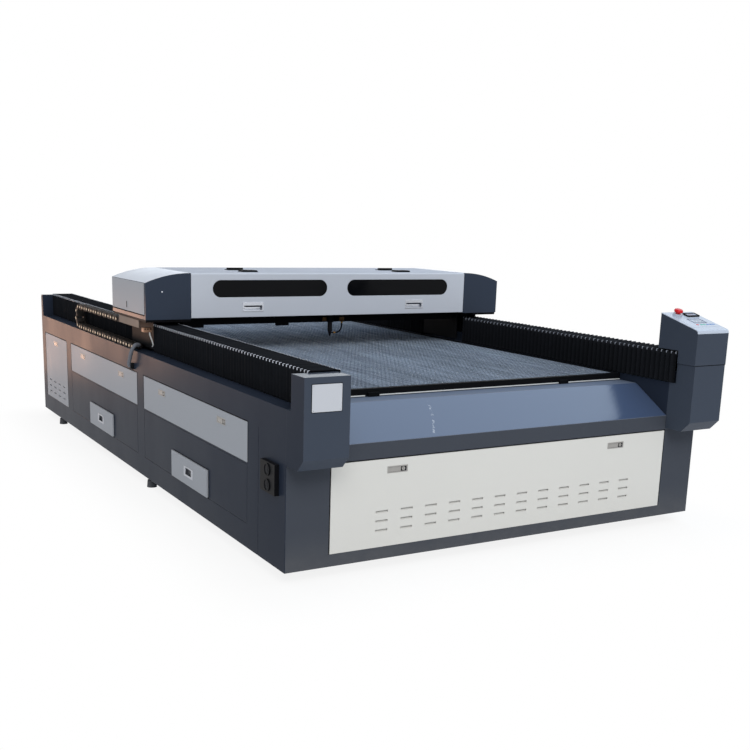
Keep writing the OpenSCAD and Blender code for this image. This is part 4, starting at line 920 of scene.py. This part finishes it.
# Control panel: overlay, display face, meter face, keys and the collar of the stop button
SCREEN_AT, METER_AT, STOP_AT = (104, 115), (135, 184), (52, 187)
panel = Shape()
panel.prism(rounded(166, 104, 6), 0.0, 0.5, 0, on_panel(94, 96), 0.2)
for u, mat in ((63, 1), (87, 2), (105, 2), (124, 3), (143, 3), (161, 3)):
    panel.prism(rounded(13, 9.5, 2.5), 0.3, 1.7, mat, on_panel(u, 70), 0.5)
for v in (90.3, 139.7):
    panel.prism(rounded(80, 5.5, 2.5), 0.2, 1.4, 4, on_panel(104, v), 0.3)
for u in (66.6, 141.4):
    panel.prism(rounded(5, 50, 2.2), 0.2, 1.4, 4, on_panel(u, 115), 0.3)
collar = [(11.4, -0.5), (16.5, -0.5), (16.5, 7), (14.5, 9.5), (11.4, 9.5), (11.4, -0.5)]
panel.lathe(collar, 24, 5, on_panel(*STOP_AT))
panel.piece("panel_overlay", [panel_white, key_red, key_green, key_blue, bezel_blue, stop_black],
            "base", soft=40)

screen = Shape()
screen.prism(rounded(68.6, 42.6, 0.8), -1.2, -0.3, 0, on_panel(*SCREEN_AT), 0.1)
screen.piece("display_field", [lcd], "base")


def spoke(angle, v, lift):
    """Frame on the meter whose X points along an angle."""
    c, s = math.cos(math.radians(angle)), math.sin(math.radians(angle))
    return on_panel(*METER_AT) @ axes((0, v, lift), (c, s, 0), (-s, c, 0), (0, 0, 1))


meter = Shape()
meter.prism(rounded(65, 27, 1.0), 3.8, 4.4, 0, on_panel(*METER_AT))
for k in range(11):
    tick = 4.2 if k % 5 == 0 else 2.6
    meter.block((25 - tick, 25), (-0.35, 0.35), (0, 0.2), 0, 1, spoke(130 - 8 * k, -16, 4.35))
meter.block((0, 21), (-0.4, 0.4), (0, 0.3), 0, 2, spoke(122, -13, 4.9))
meter.lathe([(0, 4.3), (3, 4.3), (3, 6.2), (0, 6.4)], 16, 1, on_panel(135, 171))
meter.piece("meter_face", [meter_grey, black_plastic, key_red], "base", soft=40)

# Painted shadow: dark rubber strips round the panels, the drawers and the front door, at the head's seam and
# under the flaps, standing for the shade in their gaps
SHADE_W = 3.0
SHADE_DEPTH = (-0.6, 0.3)


def strips(u0, u1, z0, z1, bottom=False):
    """Spans, across and up, of the strips round an opening."""
    low = z0 - SHADE_W if bottom else z0
    ends = [((u0 - SHADE_W, u0), (low, z1 + SHADE_W)), ((u1, u1 + SHADE_W), (low, z1 + SHADE_W))]
    under = [((u0, u1), (low, z0))] if bottom else []
    return ends + under + [((u0, u1), (z1, z1 + SHADE_W))]


shade_strips = Shape()
left_shade_depth = [d - HW for d in SHADE_DEPTH]
for name in LEFT_PANELS:
    low, high = corners(name)
    for y, z in strips(low.y - 2.0, high.y + 2.0, low.z, high.z + 2.0):
        shade_strips.block(left_shade_depth, y, z, 0.2)
for name in DRAWERS:
    low, high = corners(name)
    for y, z in strips(low.y - 0.6, high.y + 0.6, low.z - 0.6, high.z + 0.6, bottom=True):
        shade_strips.block(left_shade_depth, y, z, 0.2)
low, high = corners("front_door")
for x, z in strips(low.x - 2.0, high.x + 2.0, low.z, high.z + 2.0):
    shade_strips.block(x, SHADE_DEPTH, z, 0.2)
# Dark strip at the head's seam: painted shadow of the gap
shade_strips.block((INNER_X - 0.6, HW + 0.6), (CAP_Y - 0.6, CAP_BACK + 0.5), (763.2, 766.4), 0.3)
shade_strips.piece("panel_shade_strips", [rubber], "base")

# Dark strips under the flaps: painted shadow of the gaps
flap_shade_strips = Shape()
for side in (-1, 1):
    flap_shade_strips.block(sorted((side * 1054.6, side * 1055.7)), (1580, 2099), (864.5, 870.4), 0.2)
flap_shade_strips.piece("flap_shade_strips", [rubber], "gantry")

# Inner faces of the lid's pulls: a dark plate, painted shade in the hollow, and the bright bar that the
# fingers hold
pulls = Shape()
for x in (-PULL_X, PULL_X):
    pulls.block((x - 54, x + 54), (1583.4, 1586.2), (883.5, 911), 0.3, 0)
    pulls.block((x - 45, x + 45), (1573, 1584), (886, 902), 2.0, 1)
pulls.piece("pull_bars", [pull_painted_shade, chrome], "lid", soft=40)

# Pale sheets behind the louvers, against the tips of the flaps: painted light seen through the slots in place
# of the dark inside
louver_backings = Shape()
louver_backings.block((-668, 668), (5.8, 7.2), (154, 256), 0.3)
louver_backings.piece("door_louver_backing", [louver_backing_light], "front_door")
louver_backings = Shape()
louver_backings.block((-1043.2, -1041.8), (3192, 3607), (178, 276), 0.3)
louver_backings.piece("panel_louver_backing", [louver_backing_light], "rear_panel")

# Small fittings on the cabinet: bare plate, sockets, a pale strip in front of the bed that is a painted
# highlight line, and a screw
PLATE_AT = (-959, CAP_Y, 734.5)
plate = Shape()
# Dark rubber border round the plate: painted shadow of its edge
plate.prism(rounded(125, 104, 4), -0.2, 0.5, 1, on_front(*PLATE_AT))
plate.prism(rounded(120, 99, 3), 0.3, 1.4, 0, on_front(*PLATE_AT), 0.3)
for x in (-1013, -905):
    for z in (691, 778):
        plate.lathe([(0, 1.2), (2.4, 1.2), (2.2, 2.2), (1.2, 2.8), (0, 2.9)], 12, 2, on_front(x, CAP_Y, z))
plate.piece("bare_plate", [plate_grey, rubber, steel], "base", soft=35)

sockets = Shape()
for z in (368, 428):
    place = on_left(-1070, 119, z)
    sockets.lathe([(0, -0.5), (19.8, -0.5), (19.8, 0.6), (18.6, 1.2), (0, 1.2)], 28, 0, place)
    for x, y in ((-7, -3), (7, -3), (0, 8)):
        sockets.prism(rounded(3, 7, 1.2), 0.9, 1.5, 1, place @ Matrix.Translation((x, y, 0)))
sockets.piece("socket_faces", [socket_grey, socket_black], "base", soft=35)

# Pale strip along the flange in front of the bed: a painted highlight line
strip = Shape()
for x in ((-856, -545), (-483, 856)):
    strip.block(x, (303, 310.7), (644.6, 648.8), 1.2)
strip.piece("bed_highlight_strip", [white_trim], "base", soft=40)

screws = Shape()
screws.lathe([(0, -0.5), (4, -0.5), (4, 1.2), (3, 2.2), (0, 2.5)], 18, 0, on_front(-970, GANTRY_Y, 982))
screws.piece("cap_screw", [chrome], "gantry", soft=40)

# Fittings of the gantry and the head: tabs under the beam, terminal block with its hose, two brackets
tabs = Shape()
for x in ((-791, -705), (-294, -221)):
    tabs.block(x, (1692, 1712), (789, 804), 1.5)
tabs.piece("beam_tabs", [black_paint], "gantry", soft=40)

terminal = Shape()
terminal.block((-1035, -992), (1660, 1692), (778, 799), 1.5)
for x in (-1027, -1013, -999):
    terminal.lathe([(0, -0.5), (3.6, -0.5), (3.6, 1.4), (0, 1.8)], 12, 1, on_front(x, 1660, 793))
terminal_way = [Vector(p) for p in (
    (-1002, 1666, 782), (-1002, 1661, 764), (-993, 1660, 738), (-985, 1664, 713), (-985, 1676, 704))]
way = evenly(smooth_way(terminal_way, 8), 3.0)
terminal.tube(way, [3.4] * len(way), 10, 2)
terminal.piece("terminal_block", [copper_tan, black_plastic, white_trim], "gantry", soft=40)

brackets = Shape()
brackets.block((-40, -14), (1645, 1655), (811, 833), 2.0)
brackets.block((58, 86), (1636, 1645), (811, 833), 2.0)
brackets.piece("head_brackets", [lens_brass], "head", soft=40)

# Camera at the photograph's place
ROT = Vector((1.75731619, -0.44267901, 0.39256087))
turn = Matrix.Rotation(ROT.length, 3, ROT.normalized())
camera = bpy.data.cameras.new("camera")
camera.sensor_fit = "HORIZONTAL"
camera.sensor_width = 36.0
camera.lens = 49.459
camera.shift_x = 0.02459
camera.shift_y = 0.10795
camera.clip_end = 200.0
eye = bpy.data.objects.new("camera", camera)
eye.matrix_world = Matrix.Translation(at(-2651, -3302, 1345)) @ Matrix(
    (turn[0], -turn[1], -turn[2])).transposed().to_4x4()
scene.collection.objects.link(eye)
scene.camera = eye


# Floor, world and lamps
FOOTPRINT = (1.05, 1.88)
FLOOR = 60.0


def floor_white():
    """White floor that runs into the background, dark under the machine and softly shaded near it."""
    material = bpy.data.materials.new("floor_white")
    material.use_nodes = True
    t = Tree(material.node_tree)
    t.tree.nodes.remove(t.tree.nodes["Principled BSDF"])
    dull = t.add("ShaderNodeBsdfDiffuse")
    t.put(dull.inputs["Color"], t.span(t.noise(3.0), 0.0, 1.0, 0.93, 0.96))
    glow = t.add("ShaderNodeEmission")
    out = [t.math("SUBTRACT", t.math("ABSOLUTE", t.axis(which)), half)
           for which, half in enumerate(FOOTPRINT)]
    off = [t.math("POWER", t.math("MAXIMUM", d, 0.0), 2.0) for d in out]
    away = t.math("SQRT", t.math("ADD", *off))
    share = t.math("MULTIPLY", t.background_rays(), t.span(away, 0.02, 0.45, 0.86, 1.0, True))
    share = t.math("MULTIPLY", share, t.span(t.math("MAXIMUM", *out), -0.36, -0.18, 0.0, 1.0, True))
    t.put(t.tree.nodes["Material Output"].inputs["Surface"], t.mixed(share, dull.outputs[0], glow.outputs[0]))
    return material


floor_mesh = bpy.data.meshes.new("floor")
square = ((-1, -1), (1, -1), (1, 1), (-1, 1))
floor_mesh.from_pydata([(x * FLOOR, y * FLOOR, 0.0) for x, y in square], [], [(0, 1, 2, 3)])
floor_mesh.materials.append(floor_white())
floor = bpy.data.objects.new("floor", floor_mesh)
scene.collection.objects.link(floor)

world = bpy.data.worlds.new("studio")
world.use_nodes = True
studio = Tree(world.node_tree)
ambient = studio.tree.nodes["Background"]
ambient.inputs["Color"].default_value = (0.94, 0.97, 1.0, 1.0)
ambient.inputs["Strength"].default_value = 0.6
white = studio.add("ShaderNodeBackground")
white.inputs["Color"].default_value = (1.0, 1.0, 1.0, 1.0)
studio.put(studio.tree.nodes["World Output"].inputs["Surface"],
           studio.mixed(studio.background_rays(), ambient.outputs[0], white.outputs[0]))
scene.world = world


def lamp(name, place, target, width, height, radiance, colour):
    """Soft box facing a target, with a given brightness of its face."""
    light_data = bpy.data.lights.new(name, "AREA")
    light_data.shape = "RECTANGLE"
    light_data.size = width
    light_data.size_y = height
    light_data.energy = math.pi * width * height * radiance
    light_data.color = colour
    made = bpy.data.objects.new(name, light_data)
    made.location = place
    made.rotation_euler = (Vector(target) - Vector(place)).to_track_quat("-Z", "Y").to_euler()
    made.visible_camera = False
    scene.collection.objects.link(made)


lamp("sky_box", at(2900, 1200, 4400), at(0, 100, 580), 4.0, 4.0, 1.5, (0.55, 0.77, 1.0))
lamp("front_fill", at(-4500, -13000, 13500), at(0, 800, 500), 14.0, 8.0, 5.2, (1.0, 0.99, 0.97))
lamp("warm_rear", at(-1900, 5600, 320), at(-1050, 2400, 320), 1.0, 0.62, 4.8, (1.0, 0.5, 0.28))
lamp("back_glow", at(6500, 12500, 2200), at(-500, 500, 900), 10.0, 4.0, 1.4, (0.84, 0.92, 1.0))

scene.view_settings.view_transform = "Standard"
